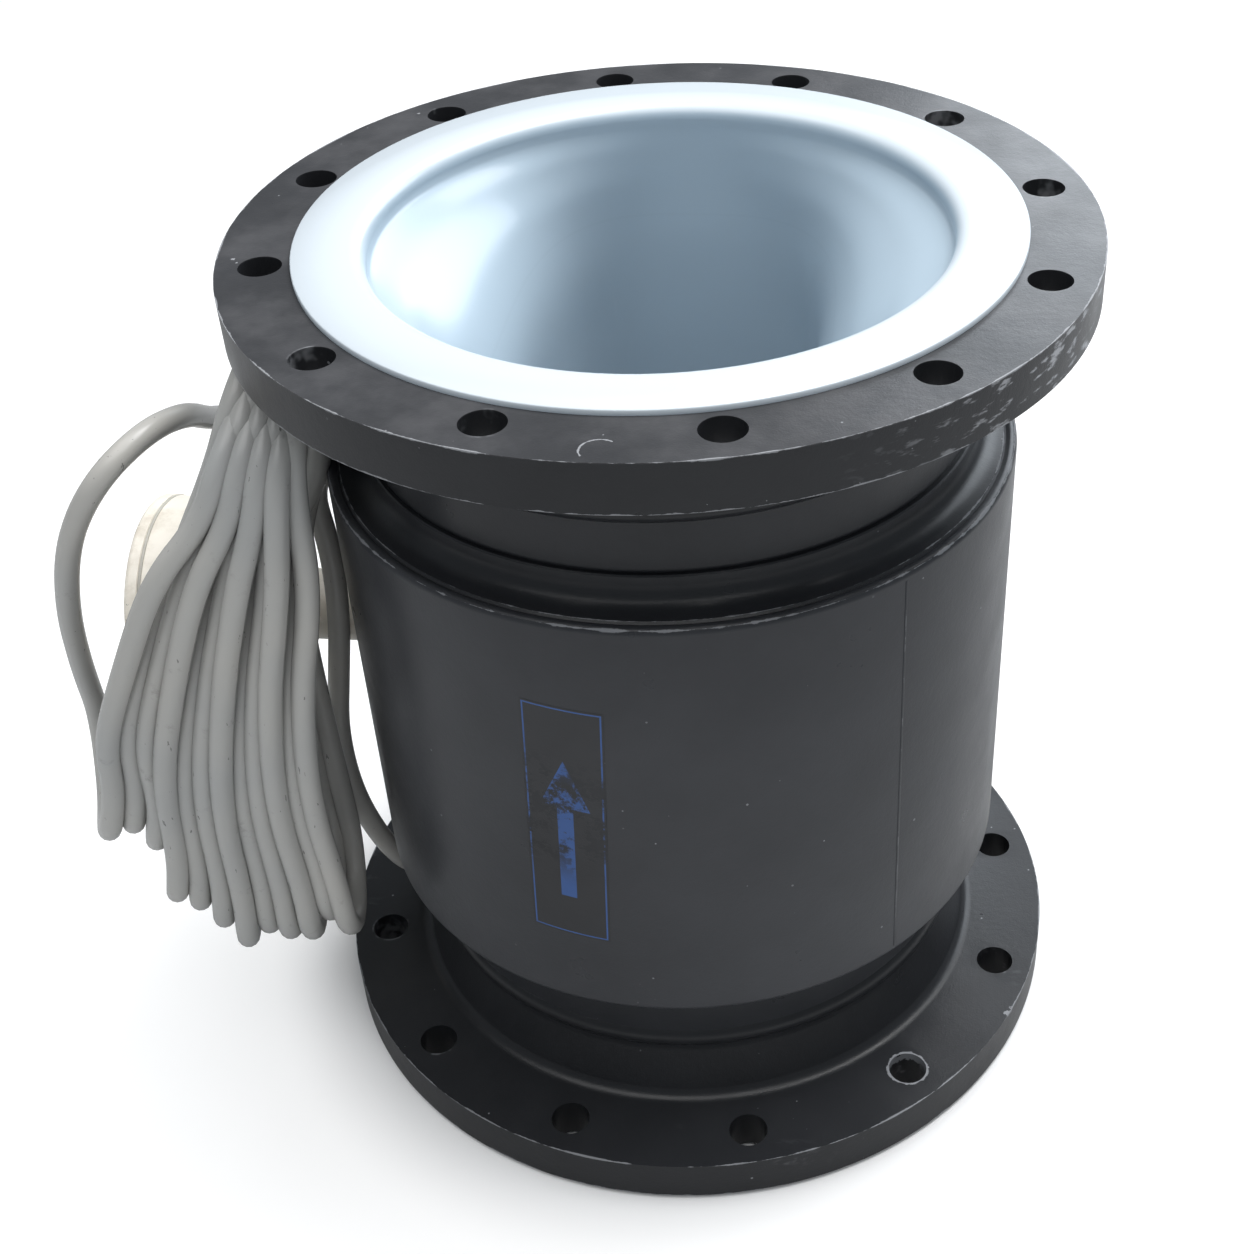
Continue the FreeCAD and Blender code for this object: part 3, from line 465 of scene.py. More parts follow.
# ---------------- finishes
def charcoal_paint(name, rings, plate_height=None, extra=None, painted_light_lift=1.0):
    """Satin charcoal paint; rings lists (radius, height, width, breaks) of edges that are rubbed and carry a painted
    highlight.

    The last argument makes the coat that much paler when above 1: painted light, a paler copy of the same paint where
    more light falls.
    """
    material, tree, surface = new_material(name)
    place = tree.place()
    grain = tree.use("Paint Grain", place)
    # a last argument above 1 makes both tones paler: painted light
    base = tree.mix(grain["Tone"], tint("paint", 0.72 * painted_light_lift), tint("paint", 1.32 * painted_light_lift))
    # rubbed paint along each listed edge, partly a painted highlight there
    masks = [tree.use("Ring Wear", place, Radius=radius, Height=height, Width=width, Breaks=breaks)["Mask"]
             for radius, height, width, breaks in rings]
    masks.append(tree.times(tree.use("Specks", place, Spacing=130.0, Share=0.3)["Mask"], 0.9))
    if extra is not None:
        masks += extra(tree, place)
    # all marks together: rubbed paint, specks, the extras and the painted highlights along the edges
    rubbed = tree.fold("MAXIMUM", masks)
    skin = tree.mix(tree.times(rubbed, 0.6), base, tint("bare"))
    if plate_height is not None:
        on_plate = tree.span(tree.gap(tree.split(place)[2], plate_height), 0.0008, 0.0002)
        haze = tree.times(on_plate, tree.span(tree.noise(place, 20.0, 4.0, 0.65), 0.35, 0.75, 0.25, 0.9))
        skin = tree.mix(tree.times(haze, 0.09), skin, full(0.55, 0.54, 0.56))
    rough = tree.plus(0.22, tree.times(tree.noise(place, 30.0, 3.0, 0.6), 0.19))
    height = tree.minus(grain["Height"], tree.times(rubbed, 0.12))
    tree.fill(surface, Base_Color=skin, Roughness=tree.plus(rough, tree.times(rubbed, 0.15)),
              Specular_IOR_Level=0.36, Normal=bump(tree, height, 0.0002, 0.6))
    return material


def liner_plastic():
    """Glossy pale liner: flat faces painted paler than the bore, as painted light on the faces and painted shade in
    the bore; a faint ring and a rub inside the bore.
    """
    material, tree, surface = new_material("Moulded liner")
    place = tree.place()
    z = tree.split(place)[2]
    from_end = tree.math("MINIMUM", z, tree.minus(TOTAL, z))
    # the flat faces get the paler colour: painted light, the bore painted shade
    on_lit_face = tree.span(from_end, 0.006, 0.0004)
    body = tree.mix(tree.noise(place, 7.0, 3.0), tint("liner", 0.93), tint("liner", 1.02))
    skin = tree.mix(on_lit_face, body, tint("face"))
    line = tree.span(tree.gap(from_end, 0.064), 0.0012, 0.0002)
    rub = tree.use("Scuffs", place, Patch=9.0, Amount=0.34, Stretch=(1.0, 1.0, 0.12))["Mask"]
    skin = tree.mix(tree.times(line, 0.10), skin, full(0.30, 0.36, 0.42))
    skin = tree.mix(tree.times(rub, 0.06), skin, full(0.88, 0.90, 0.92))
    tree.fill(surface, Base_Color=skin, Roughness=0.27, Coat_Weight=0.15, Coat_Roughness=0.12,
              Normal=bump(tree, tree.noise(place, 24.0), 0.0004, 0.2))
    return material


def cable_sheath():
    """Glossy grey sheath, warmer and cooler in long patches, with handling marks and faint dark ticks."""
    material, tree, surface = new_material("Cable sheath")
    place = tree.place()
    base = tree.mix(tree.noise(place, 11.0), tint("sheath", (0.80, 0.84, 0.88)), tint("sheath", (1.14, 1.10, 1.04)))
    dirt = tree.span(tree.noise(place, 60.0, 5.0, 0.7), 0.60, 0.80)
    skin = tree.mix(tree.times(dirt, 0.4), base, full(0.10, 0.098, 0.09))
    long_way = tree.node("ShaderNodeCombineXYZ")
    for socket, part, factor in zip(long_way.inputs, tree.split(place), (1.0, 1.0, 0.25)):
        tree.feed(socket, tree.times(part, factor))
    ticks = tree.span(tree.noise(long_way.outputs[0], 330.0, 3.0, 0.6), 0.70, 0.72)
    skin = tree.mix(tree.times(ticks, 0.6), skin, full(0.06, 0.06, 0.06))
    tree.fill(surface, Base_Color=skin, Roughness=0.27, Normal=bump(tree, tree.noise(place, 420.0), 0.0001, 0.2))
    return material


def box_enamel():
    """Cream enamel, dusty and chipped along the cover's rim."""
    material, tree, surface = new_material("Box enamel")
    place = tree.place()
    base = tree.mix(tree.noise(place, 30.0, 4.0, 0.6), tint("enamel", 0.95), tint("enamel", 1.15))
    dust = tree.span(tree.noise(place, 26.0, 6.0, 0.7), 0.42, 0.68)
    skin = tree.mix(tree.times(dust, 0.5), base, tint("grime"))
    near_rim = tree.span(tree.split(place)[0], -0.302, -0.312)
    chips = tree.span(tree.noise(place, 150.0, 4.0, 0.65), 0.66, 0.70)
    skin = tree.mix(tree.times(chips, near_rim, 0.9), skin, full(0.03, 0.03, 0.03))
    tree.fill(surface, Base_Color=skin, Roughness=tree.span(dust, 0.0, 1.0, 0.34, 0.6),
              Normal=bump(tree, tree.noise(place, 300.0, 3.0, 0.6), 0.0002, 0.3))
    return material


def plain_metal(name, rgb, roughness, metallic=1.0, grain=180.0):
    """Metal with a machined, slightly uneven surface."""
    material, tree, surface = new_material(name)
    place = tree.place()
    cloud = tree.noise(place, 40.0, 4.0, 0.6)
    skin = tree.mix(tree.span(cloud, 0.3, 0.7), full(*(channel * 0.82 for channel in rgb)), full(*rgb))
    tree.fill(surface, Base_Color=skin, Metallic=metallic,
              Roughness=tree.span(cloud, 0.3, 0.7, roughness - 0.05, roughness + 0.08),
              Normal=bump(tree, tree.noise(place, grain, 4.0, 0.6), 0.0001, 0.4))
    return material


def label_film():
    """Clear label film: a thin blue border and a plain flow arrow, rubbed in the middle."""
    material, tree, surface = new_material("Label film")
    where = tree.node("ShaderNodeUVMap", uv_map="film").outputs[0]
    place = tree.place()
    across, along = tree.split(where)[:2]
    grain = tree.use("Paint Grain", place)
    from_middle = tree.gap(across, 0.5)

    def panel(half_width, middle, half_height):
        """One inside a rectangle of the film that lies on its middle line."""
        return tree.times(tree.math("LESS_THAN", from_middle, half_width),
                          tree.math("LESS_THAN", tree.gap(along, middle), half_height))

    border = tree.minus(panel(0.475, 0.5, 0.493), panel(0.455, 0.5, 0.4875))
    shaft = panel(0.10, 0.38, 0.20)
    tip = panel(tree.times(tree.minus(0.78, along), 1.55), 0.68, 0.10)
    ink = tree.fold("MAXIMUM", [border, shaft, tip])
    worn = tree.times(tree.span(tree.noise(place, 90.0, 6.0, 0.75), 0.44, 0.56),
                      tree.span(tree.gap(along, 0.55), 0.34, 0.12))
    ink = tree.math("MULTIPLY", ink, tree.minus(1.0, worn), clamp=True)
    film = tree.mix(tree.span(grain["Tone"], 0.3, 0.7), tint("paint", 1.15), tint("paint", 1.5))
    height = tree.plus(tree.times(grain["Height"], 0.3), tree.times(worn, 0.6))
    tree.fill(surface, Base_Color=tree.mix(tree.times(ink, 0.85), film, tint("label")),
              Roughness=tree.span(worn, 0.0, 1.0, 0.34, 0.55), Normal=bump(tree, height, 0.0002, 0.6))
    return material


def machined_bits(tree, place):
    """Scuffs on the flange plate and the rim, heavier to the right, where they are partly a painted highlight, and
    bare rings round the holes.
    """
    size = sizes()
    around = tree.use("Round The Axis", place, Circle=size.bolt_circle, Count=float(size.bolt_count))
    rim = tree.span(around["Radius"], RIM_R - 0.0006, RIM_R - 0.0001)
    # the upper rim is rubbed paler towards the right: partly scuffs, partly a painted highlight where the light falls
    # on it
    right = tree.span(tree.math("ABSOLUTE", tree.plus(around["Azimuth"], 0.25)), 0.90, 0.25)
    fine = tree.use("Scuffs", place, Patch=22.0, Amount=0.72, Stretch=(0.5, 0.5, 1.6))["Mask"]
    upper = tree.math("GREATER_THAN", tree.split(place)[2], TOTAL / 2)
    rim_rub_and_highlight = tree.times(rim, right, fine, upper)
    plate = tree.use("Scuffs", place, Patch=12.0, Amount=0.40, Stretch=(0.4, 0.9, 1.0))["Mask"]
    plate = tree.times(plate, tree.span(around["Radius"], 0.188, 0.2))
    hole_edge = tree.times(tree.span(tree.gap(around["Hole"], size.bolt_hole), 0.0016, 0.0004),
                           tree.span(tree.noise(place, 24.0, 4.0, 0.7), 0.56, 0.66))
    top = TOTAL - size.liner_wall
    back = size.liner_wall + size.flange_thick
    # centre, ring radius and reach of a bare ring round one hole of the lower flange, of a chip on its
    # rim and of knocks beside two upper holes
    spots = [((0.1414, -0.1414, back), size.bolt_hole + 0.0004, 0.0012), ((0.2010, -0.0937, back), 0.0, 0.0030),
             ((0.2030, -0.0905, back - 0.001), 0.0, 0.0022), ((-0.2090, -0.0440, top), 0.0, 0.0014),
             ((-0.2060, -0.0480, top), 0.0, 0.0010), ((-0.1580, 0.1420, top), 0.0, 0.0013)]
    knocks = [tree.use("Spot", place, Centre=centre, Ring=ring, Reach=reach)["Mask"]
              for centre, ring, reach in spots]
    scratch = tree.use("Spot", place, Centre=(0.0015, -0.2125, top), Ring=0.0085, Reach=0.0005)
    east, north = tree.split(scratch["Side"])[:2]
    curl = tree.times(scratch["Mask"], tree.math("GREATER_THAN", tree.minus(north, east), 0.002))
    return [tree.times(rim_rub_and_highlight, 1.6), tree.times(plate, 0.34), tree.times(hole_edge, 0.6),
            tree.fold("MAXIMUM", knocks), curl]


def seam_line(tree, place):
    """The broken bright line of the shell's seam weld."""
    around = tree.use("Round The Axis", place)
    line = tree.span(tree.gap(around["Azimuth"], SEAM_TURN), 0.0022, 0.0004)
    return [tree.times(line, tree.span(tree.noise(place, 70.0, 4.0, 0.7), 0.5, 0.62), 0.5)]


# ---------------- pieces
class SENSOR_OT_flanges(bpy.types.Operator):
    """Weld-neck flanges with their hubs, neck welds and bolt holes"""
    bl_idname = "flow_sensor.flanges"
    bl_label = "Flanges"

    def execute(self, context):
        size = sizes()
        front, back = size.liner_wall, size.liner_wall + size.flange_thick
        root_r, bead_r = 0.008, 0.0075
        material = charcoal_paint("Flange paint", [
            (RIM_R, TOTAL - front, 0.0006, 0.52), (RIM_R, TOTAL - back, 0.0006, 0.54),
            (RIM_R, back, 0.0006, 0.53), (RIM_R, front, 0.0006, 0.55)], TOTAL - front, machined_bits)
        profile = [(size.bore_radius, front), (RIM_R, front), (RIM_R, back)]
        profile += arc(size.hub_radius + root_r, back + root_r, root_r, 270, 180)
        profile += [(size.pipe_radius, size.hub_height - 0.012)]
        profile += arc(size.pipe_radius - 0.0045, size.hub_height, bead_r, -53, 53, 8)
        profile += [(size.bore_radius, size.hub_height + WELD_HALF)]
        for side in ("bottom", "top"):
            bm = bmesh.new()
            turned(bm, profile, 180)
            cutter = bmesh.new()
            for hole in range(size.bolt_count):
                turn = 2 * math.pi * (hole + 0.5) / size.bolt_count
                spot = Vector((size.bolt_circle * math.cos(turn), size.bolt_circle * math.sin(turn), back / 2))
                bar(cutter, Matrix.Translation(spot), size.bolt_hole, 0.06)
            thing = add_object(f"{side}_flange_body", bm, material)
            cut_away(thing, cutter)
            bm = bmesh.new()
            bm.from_mesh(thing.data)
            bmesh.ops.remove_doubles(bm, verts=bm.verts, dist=WELD)
            if side == "top":
                bmesh.ops.rotate(bm, verts=bm.verts, cent=ORIGIN, matrix=Matrix.Rotation(math.pi, 3, "X"))
                bmesh.ops.translate(bm, verts=bm.verts, vec=Vector((0, 0, TOTAL)))
            bm.to_mesh(thing.data)
            bm.free()
            shade_smooth(thing.data)
            edge = thing.modifiers.new("edge", "BEVEL")
            edge.width = 0.0007
            edge.segments = 2
            edge.limit_method = "ANGLE"
            edge.angle_limit = math.radians(50)
            edge.harden_normals = True
            stands_for(thing, "body_paint", f"{side}_flange")
        return {"FINISHED"}


class SENSOR_OT_housing(bpy.types.Operator):
    """Rolled shell, pressed end rings and the neck pipes inside them"""
    bl_idname = "flow_sensor.housing"
    bl_label = "Housing"

    def execute(self, context):
        size = sizes()
        shell = size.shell_radius
        inner = shell - 0.006
        round_r = 0.004
        # the housing's coat is painted twice as pale as the flanges': painted light, a paler copy of the same paint
        paint = charcoal_paint("Housing paint", [
            (shell - TRIM, SHELL_HIGH - TRIM, 0.0007, 0.54), (shell - TRIM, SHELL_LOW + TRIM, 0.0006, 0.55)],
            None, seam_line, 2.0)
        profile = arc(shell - round_r, SHELL_LOW + round_r, round_r, -80, 0)
        profile += arc(shell - round_r, SHELL_HIGH - round_r, round_r, 0, 80)
        profile += [(inner + TRIM, SHELL_HIGH - 0.0004), (inner, SHELL_HIGH - TRIM),
                    (inner, SHELL_LOW + TRIM), (inner + TRIM, SHELL_LOW + 0.0004)]
        bm = bmesh.new()
        turned(bm, profile, 192)
        thing = add_object("shell_body", bm, paint)
        cutter = bmesh.new()
        across = Matrix.Translation((-shell, 0, BOX_AXIS_Z)) @ Matrix.Rotation(math.pi / 2, 4, "Y")
        bar(cutter, across, NECK_BORE, 0.1)
        cut_away(thing, cutter)
        shade_smooth(thing.data)
        stands_for(thing, "body_paint", "housing_shell")

        bm = bmesh.new()
        place = Matrix.Rotation(SEAM_TURN, 4, "Z") @ Matrix.Translation((shell - 0.0002, 0, TOTAL / 2))
        shape = Matrix.Diagonal((0.0009, 0.0016, SHELL_HIGH - SHELL_LOW - 0.010, 1))
        bmesh.ops.create_cube(bm, size=1, matrix=place @ shape)
        bmesh.ops.recalc_face_normals(bm, faces=bm.faces)
        bevel(bm, list(bm.edges), 0.0003)
        stands_for(add_object("shell_seam", bm, paint), "body_paint")

        # the end rings and neck pipes are painted half as pale again: painted light, standing in for light on their
        # upward faces
        ring_paint = charcoal_paint("Ring paint", [(inner - TRIM, SHELL_HIGH, 0.0005, 0.56)], painted_light_lift=1.5)
        collar = size.pipe_radius + 0.003
        fillet_r, collar_reach, ring_depth = 0.011, 0.016, 0.004
        neck_start = size.hub_height + WELD_HALF
        for side, base, way, start in (
                ("bottom", SHELL_LOW, -1, neck_start), ("top", SHELL_HIGH, 1, TOTAL - neck_start)):
            end = base + way * collar_reach
            profile = [(size.pipe_radius, base - way * ring_depth), (inner, base - way * ring_depth),
                       (inner, base - way * TRIM), (inner - TRIM, base)]
            profile += [(collar + fillet_r * (1 - math.sin(t)), base + way * fillet_r * (1 - math.cos(t)))
                        for t in [math.radians(90 * i / 8) for i in range(9)]]
            profile += [(collar, end - way * 0.0008), (collar - 0.0008, end), (size.pipe_radius, end)]
            turned_piece(f"{side}_ring_body", profile, 192, ring_paint, "body_paint", f"{side}_end_ring")
            end = base - way * collar_reach
            neck = [(size.bore_radius, start), (size.pipe_radius, start),
                    (size.pipe_radius, end), (size.bore_radius, end)]
            turned_piece(f"{side}_neck_body", neck, 192, ring_paint, "body_paint", f"{side}_neck_pipe")
        return {"FINISHED"}


class SENSOR_OT_liner(bpy.types.Operator):
    """Moulded liner, round at its faces and narrow in the middle"""
    bl_idname = "flow_sensor.liner"
    bl_label = "Liner"

    def ring(self, bm, half_x, half_y, power, height, count=160):
        verts = []
        for step in range(count):
            turn = 2 * math.pi * (step + 0.5) / count
            x = math.copysign(abs(math.cos(turn)) ** (2 / power), math.cos(turn))
            y = math.copysign(abs(math.sin(turn)) ** (2 / power), math.sin(turn))
            verts.append(bm.verts.new((half_x * x, half_y * y, height)))
        return [bm.edges.new((verts[i - 1], verts[i])) for i in range(count)]

    def execute(self, context):
        size = sizes()
        bore, wall, lip = size.liner_bore, size.liner_wall, size.lip_radius
        throat_x, throat_y = 0.075, 0.141
        start, narrow = 0.012, 0.14         # heights where the narrowing starts and ends
        edge = 0.0006
        # share of the way to the throat, of the narrowing across, of it along, and the section's power
        ways = [(0.0, 0.0, 0.0, 2.0), (0.10, 0.32, 0.10, 2.15), (0.27, 0.68, 0.32, 2.6),
                (0.55, 0.93, 0.72, 3.6), (1.0, 1.0, 1.0, 4.6)]

        def smooth(share, column):
            """Catmull-Rom through the stations, level at both ends."""
            for index in range(len(ways) - 1):
                if share <= ways[index + 1][0] or index == len(ways) - 2:
                    p1, p2 = ways[index], ways[index + 1]
                    p0 = ways[index - 1] if index else (-0.1, *p1[1:])
                    p3 = ways[index + 2] if index + 2 < len(ways) else (p2[0] + 0.2, *p2[1:])
                    t = (share - p1[0]) / (p2[0] - p1[0])
                    m1 = (p2[column] - p0[column]) / (p2[0] - p0[0]) * (p2[0] - p1[0])
                    m2 = (p3[column] - p1[column]) / (p3[0] - p1[0]) * (p2[0] - p1[0])
                    return ((2 * t ** 3 - 3 * t ** 2 + 1) * p1[column] + (t ** 3 - 2 * t ** 2 + t) * m1
                            + (-2 * t ** 3 + 3 * t ** 2) * p2[column] + (t ** 3 - t ** 2) * m2)

        def row(height, grow):
            """Half widths and power of the passage at a height in the lower half."""
            if height <= start:
                return bore + grow, bore + grow, 2.0
            share = min(1.0, (height - start) / (narrow - start))
            return (bore + smooth(share, 1) * (throat_x - bore) + grow,
                    bore + smooth(share, 2) * (throat_y - bore) + grow, smooth(share, 3))

        def mirrored(rows):
            """The same rows in the upper half, in the other order."""
            return [(x, y, p, TOTAL - z) for x, y, p, z in reversed(rows)]

        heights = [start + (narrow - start) * (i / 30) ** 1.3 for i in range(1, 31)] + [0.195]
        inner = []
        for turn in map(math.radians, (0, 11, 22, 34, 45, 56, 68, 79, 90)):
            reach = bore + lip * (1 - math.sin(turn))
            inner.append((reach, reach, 2.0, lip * (1 - math.cos(turn))))
        inner += [(*row(h, 0), h) for h in [start] + heights]
        outer = [(*row(h, wall), h) for h in reversed([start] + heights)]
        outer += [(bore + wall + 0.004, bore + wall + 0.004, 2.0, 0.0035)]
        rim = [(FACE_R, FACE_R, 2.0, wall), (FACE_R, FACE_R, 2.0, edge), (FACE_R - edge, FACE_R - edge, 2.0, 0.0)]
        bm = bmesh.new()
        rows = inner + mirrored(inner) + mirrored(rim) + mirrored(outer) + outer + rim
        loops = [self.ring(bm, *spot) for spot in rows]
        for first, second in zip(loops, loops[1:] + loops[:1]):
            bmesh.ops.bridge_loops(bm, edges=first + second)
        bmesh.ops.recalc_face_normals(bm, faces=bm.faces)
        stands_for(add_object("liner_body", bm, liner_plastic(), 50), "liner", "liner")
        return {"FINISHED"}


class SENSOR_OT_junction_box(bpy.types.Operator):
    """Round junction box with its neck, cover and entries"""
    bl_idname = "flow_sensor.junction_box"
    bl_label = "Junction Box"

    def execute(self, context):
        enamel = box_enamel()
        out = Vector((-1, 0, 0))
        centre = Vector((0, 0, BOX_AXIS_Z))
        back, floor, mouth, face = 0.244, 0.258, 0.304, 0.314     # distances from the meter's axis
        cheek = NECK_BORE - 0.0032
        body = [(NECK_BORE, back), (0.027, back)] + arc(0.027, 0.245, 0.001, -90, 0, 2) + [(0.028, 0.248)]
        body += arc(0.048, 0.262, 0.014, -90, 0, 8)
        body += [(0.062, mouth - 0.0005), (0.0615, mouth), (0.058, mouth), (0.058, floor),
                 (cheek, floor), (cheek, floor - 0.004), (NECK_BORE, floor - 0.004)]
        bm = bmesh.new()
        turned(bm, body, 128, out, centre)
        for way in (-1, 1):
            spot = Vector((ENTRY_X, way * ENTRY_Y, 0.3105))
            boss = bar(bm, Matrix.Translation(spot), 0.014, 0.011, far_radius=0.0135)
            bevel(bm, [edge for edge in edges_of(boss) if edge.calc_face_angle(0) > 1], 0.0008)
        stands_for(add_object("box_body_shell", bm, enamel), "box_paint", "junction_box_body")

        lid, skirt = 0.310, 0.3055
        cover = [(0.0, lid), (0.0537, lid), (0.0537, 0.2955), (0.0577, 0.2955), (0.0577, skirt)]
        cover += [(0.0625, skirt), (0.063, 0.306)] + arc(0.059, lid, 0.004, 0, 90, 6) + [(0.0, face)]
        turned_piece("box_cover_shell", cover, 128, enamel, "box_paint", "junction_box_cover", out, centre)
        neck = [(cheek, 0.176), (NECK_BORE, 0.176), (NECK_BORE, floor - 0.004), (cheek, floor - 0.004)]
        turned_piece("box_neck_tube", neck, 96, enamel, "box_paint", "box_neck", out, centre)
        return {"FINISHED"}


class SENSOR_OT_entries(bpy.types.Operator):
    """Cable gland and blanking plug on the junction box"""
    bl_idname = "flow_sensor.entries"
    bl_label = "Cable Entries"

    def hexagon(self, bm, spot, low, high):
        place = Matrix.Translation(spot + AXIS_Z * (low + high) / 2) @ Matrix.Rotation(math.pi / 6, 4, "Z")
        bevel(bm, edges_of(bar(bm, place, ENTRY_FLATS / math.sqrt(3), high - low, 6)), 0.0006)

    def execute(self, context):
        nickel = plain_metal("Nickelled brass", (0.60, 0.59, 0.56), 0.3)
        rubber, tree, surface = new_material("Black rubber")
        mottle = tree.mix(tree.noise(tree.place(), 80.0, 3.0), full(0.02, 0.02, 0.02), full(0.05, 0.05, 0.05))
        tree.fill(surface, Base_Color=mottle, Roughness=0.7)
        pale = plain_metal("Pale sealing rubber", (0.52, 0.50, 0.45), 0.6, 0.0, 300.0)
        # piece, node, side, the hexagon's heights and the turned profile, all above the boss
        pieces = [
            ("gland_body_piece", "gland_body", 1, 0.0, 0.006,
             [(0.0068, -0.010), (0.010, -0.010), (0.010, 0.022), (0.0088, 0.022), (0.0088, 0.008), (0.0068, 0.008)]),
            ("gland_nut_piece", "gland_nut", 1, 0.009, 0.018,
             [(0.007, 0.0178), (0.0113, 0.0178), (0.011, 0.022), (0.0098, 0.0255), (0.0082, 0.0275),
              (0.0072, 0.028), (0.007, 0.0275)]),
            ("plug_piece", "blanking_plug", -1, 0.0, 0.005,
             [(0.0, -0.010), (0.010, -0.010), (0.010, 0.005), (0.0092, 0.0062), (0.0085, 0.0065), (0.0, 0.0065)])]
        boss_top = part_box("gland_body")[0].z + 0.010
        for name, node, side, low, high, profile in pieces:
            spot = Vector((ENTRY_X, side * ENTRY_Y, boss_top))
            bm = bmesh.new()
            self.hexagon(bm, spot, low, high)
            turned(bm, profile, 64, AXIS_Z, spot)
            stands_for(add_object(name, bm, nickel), "gland_brass", node)
        dress(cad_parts["cover_gasket"].data, pale)
        dress(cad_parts["gland_seal"].data, rubber)
        return {"FINISHED"}


class SENSOR_OT_label(bpy.types.Operator):
    """Wrinkled label film with a plain flow arrow, stuck a little crooked on the shell"""
    bl_idname = "flow_sensor.label"
    bl_label = "Flow Label"

    def execute(self, context):
        radius = sizes().shell_radius + 0.00012
        width, height = 0.044, 0.160
        azimuth, middle = math.radians(-101.75), 0.251
        lean = math.radians(3.0)
        wrinkle, wrinkled_z, wrinkled_reach = 0.00022, 0.006, 0.035
        bm = bmesh.new()
        bmesh.ops.create_grid(bm, x_segments=24, y_segments=72, size=0.5)
        film = bm.loops.layers.uv.new("film")
        for loop in (loop for face in bm.faces for loop in face.loops):
            loop[film].uv = (loop.vert.co.x + 0.5, loop.vert.co.y + 0.5)
        for vert in bm.verts:
            u, v = vert.co.x * width, vert.co.y * height
            across = u * math.cos(lean) + v * math.sin(lean) * 0.9
            up = v * math.cos(lean) - u * math.sin(lean)
            turn = azimuth + across / radius
            wave = max(0.0, math.sin(v * 410 + u * 160)) * max(0.0, 1 - abs(v - wrinkled_z) / wrinkled_reach)
            reach = radius + wrinkle * wave
            vert.co = Vector((reach * math.cos(turn), reach * math.sin(turn), middle + up))
        stands_for(add_object("flow_label", bm, label_film(), 80), "body_paint")
        return {"FINISHED"}


class SENSOR_OT_inner_parts(bpy.types.Operator):
    """Finishes of the pieces inside the housing and the box"""
    bl_idname = "flow_sensor.inner_parts"
    bl_label = "Inner Parts"

    def execute(self, context):
        steel = plain_metal("Formed steel", (0.50, 0.50, 0.49), 0.35)
        core = plain_metal("Core steel", (0.30, 0.30, 0.31), 0.45)
        tape = plain_metal("Taped winding", (0.32, 0.15, 0.06), 0.55, 0.0, 300.0)
        plastic = plain_metal("Filled plastic", (0.62, 0.60, 0.55), 0.5, 0.0, 400.0)
        plan = {steel: ["measuring_duct", "terminal_screws"], core: ["pole_right", "pole_left", "return_yoke"],
                tape: ["field_coil_right", "field_coil_left"], plastic: ["terminal_block"]}
        for side in ("front", "back"):
            plan[steel] += [f"electrode_{side}", f"electrode_washer_{side}", f"electrode_nut_{side}"]
            plan[plastic].append(f"electrode_bush_{side}")
        for material, nodes in plan.items():
            for node in nodes:
                dress(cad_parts[node].data, material)
        return {"FINISHED"}


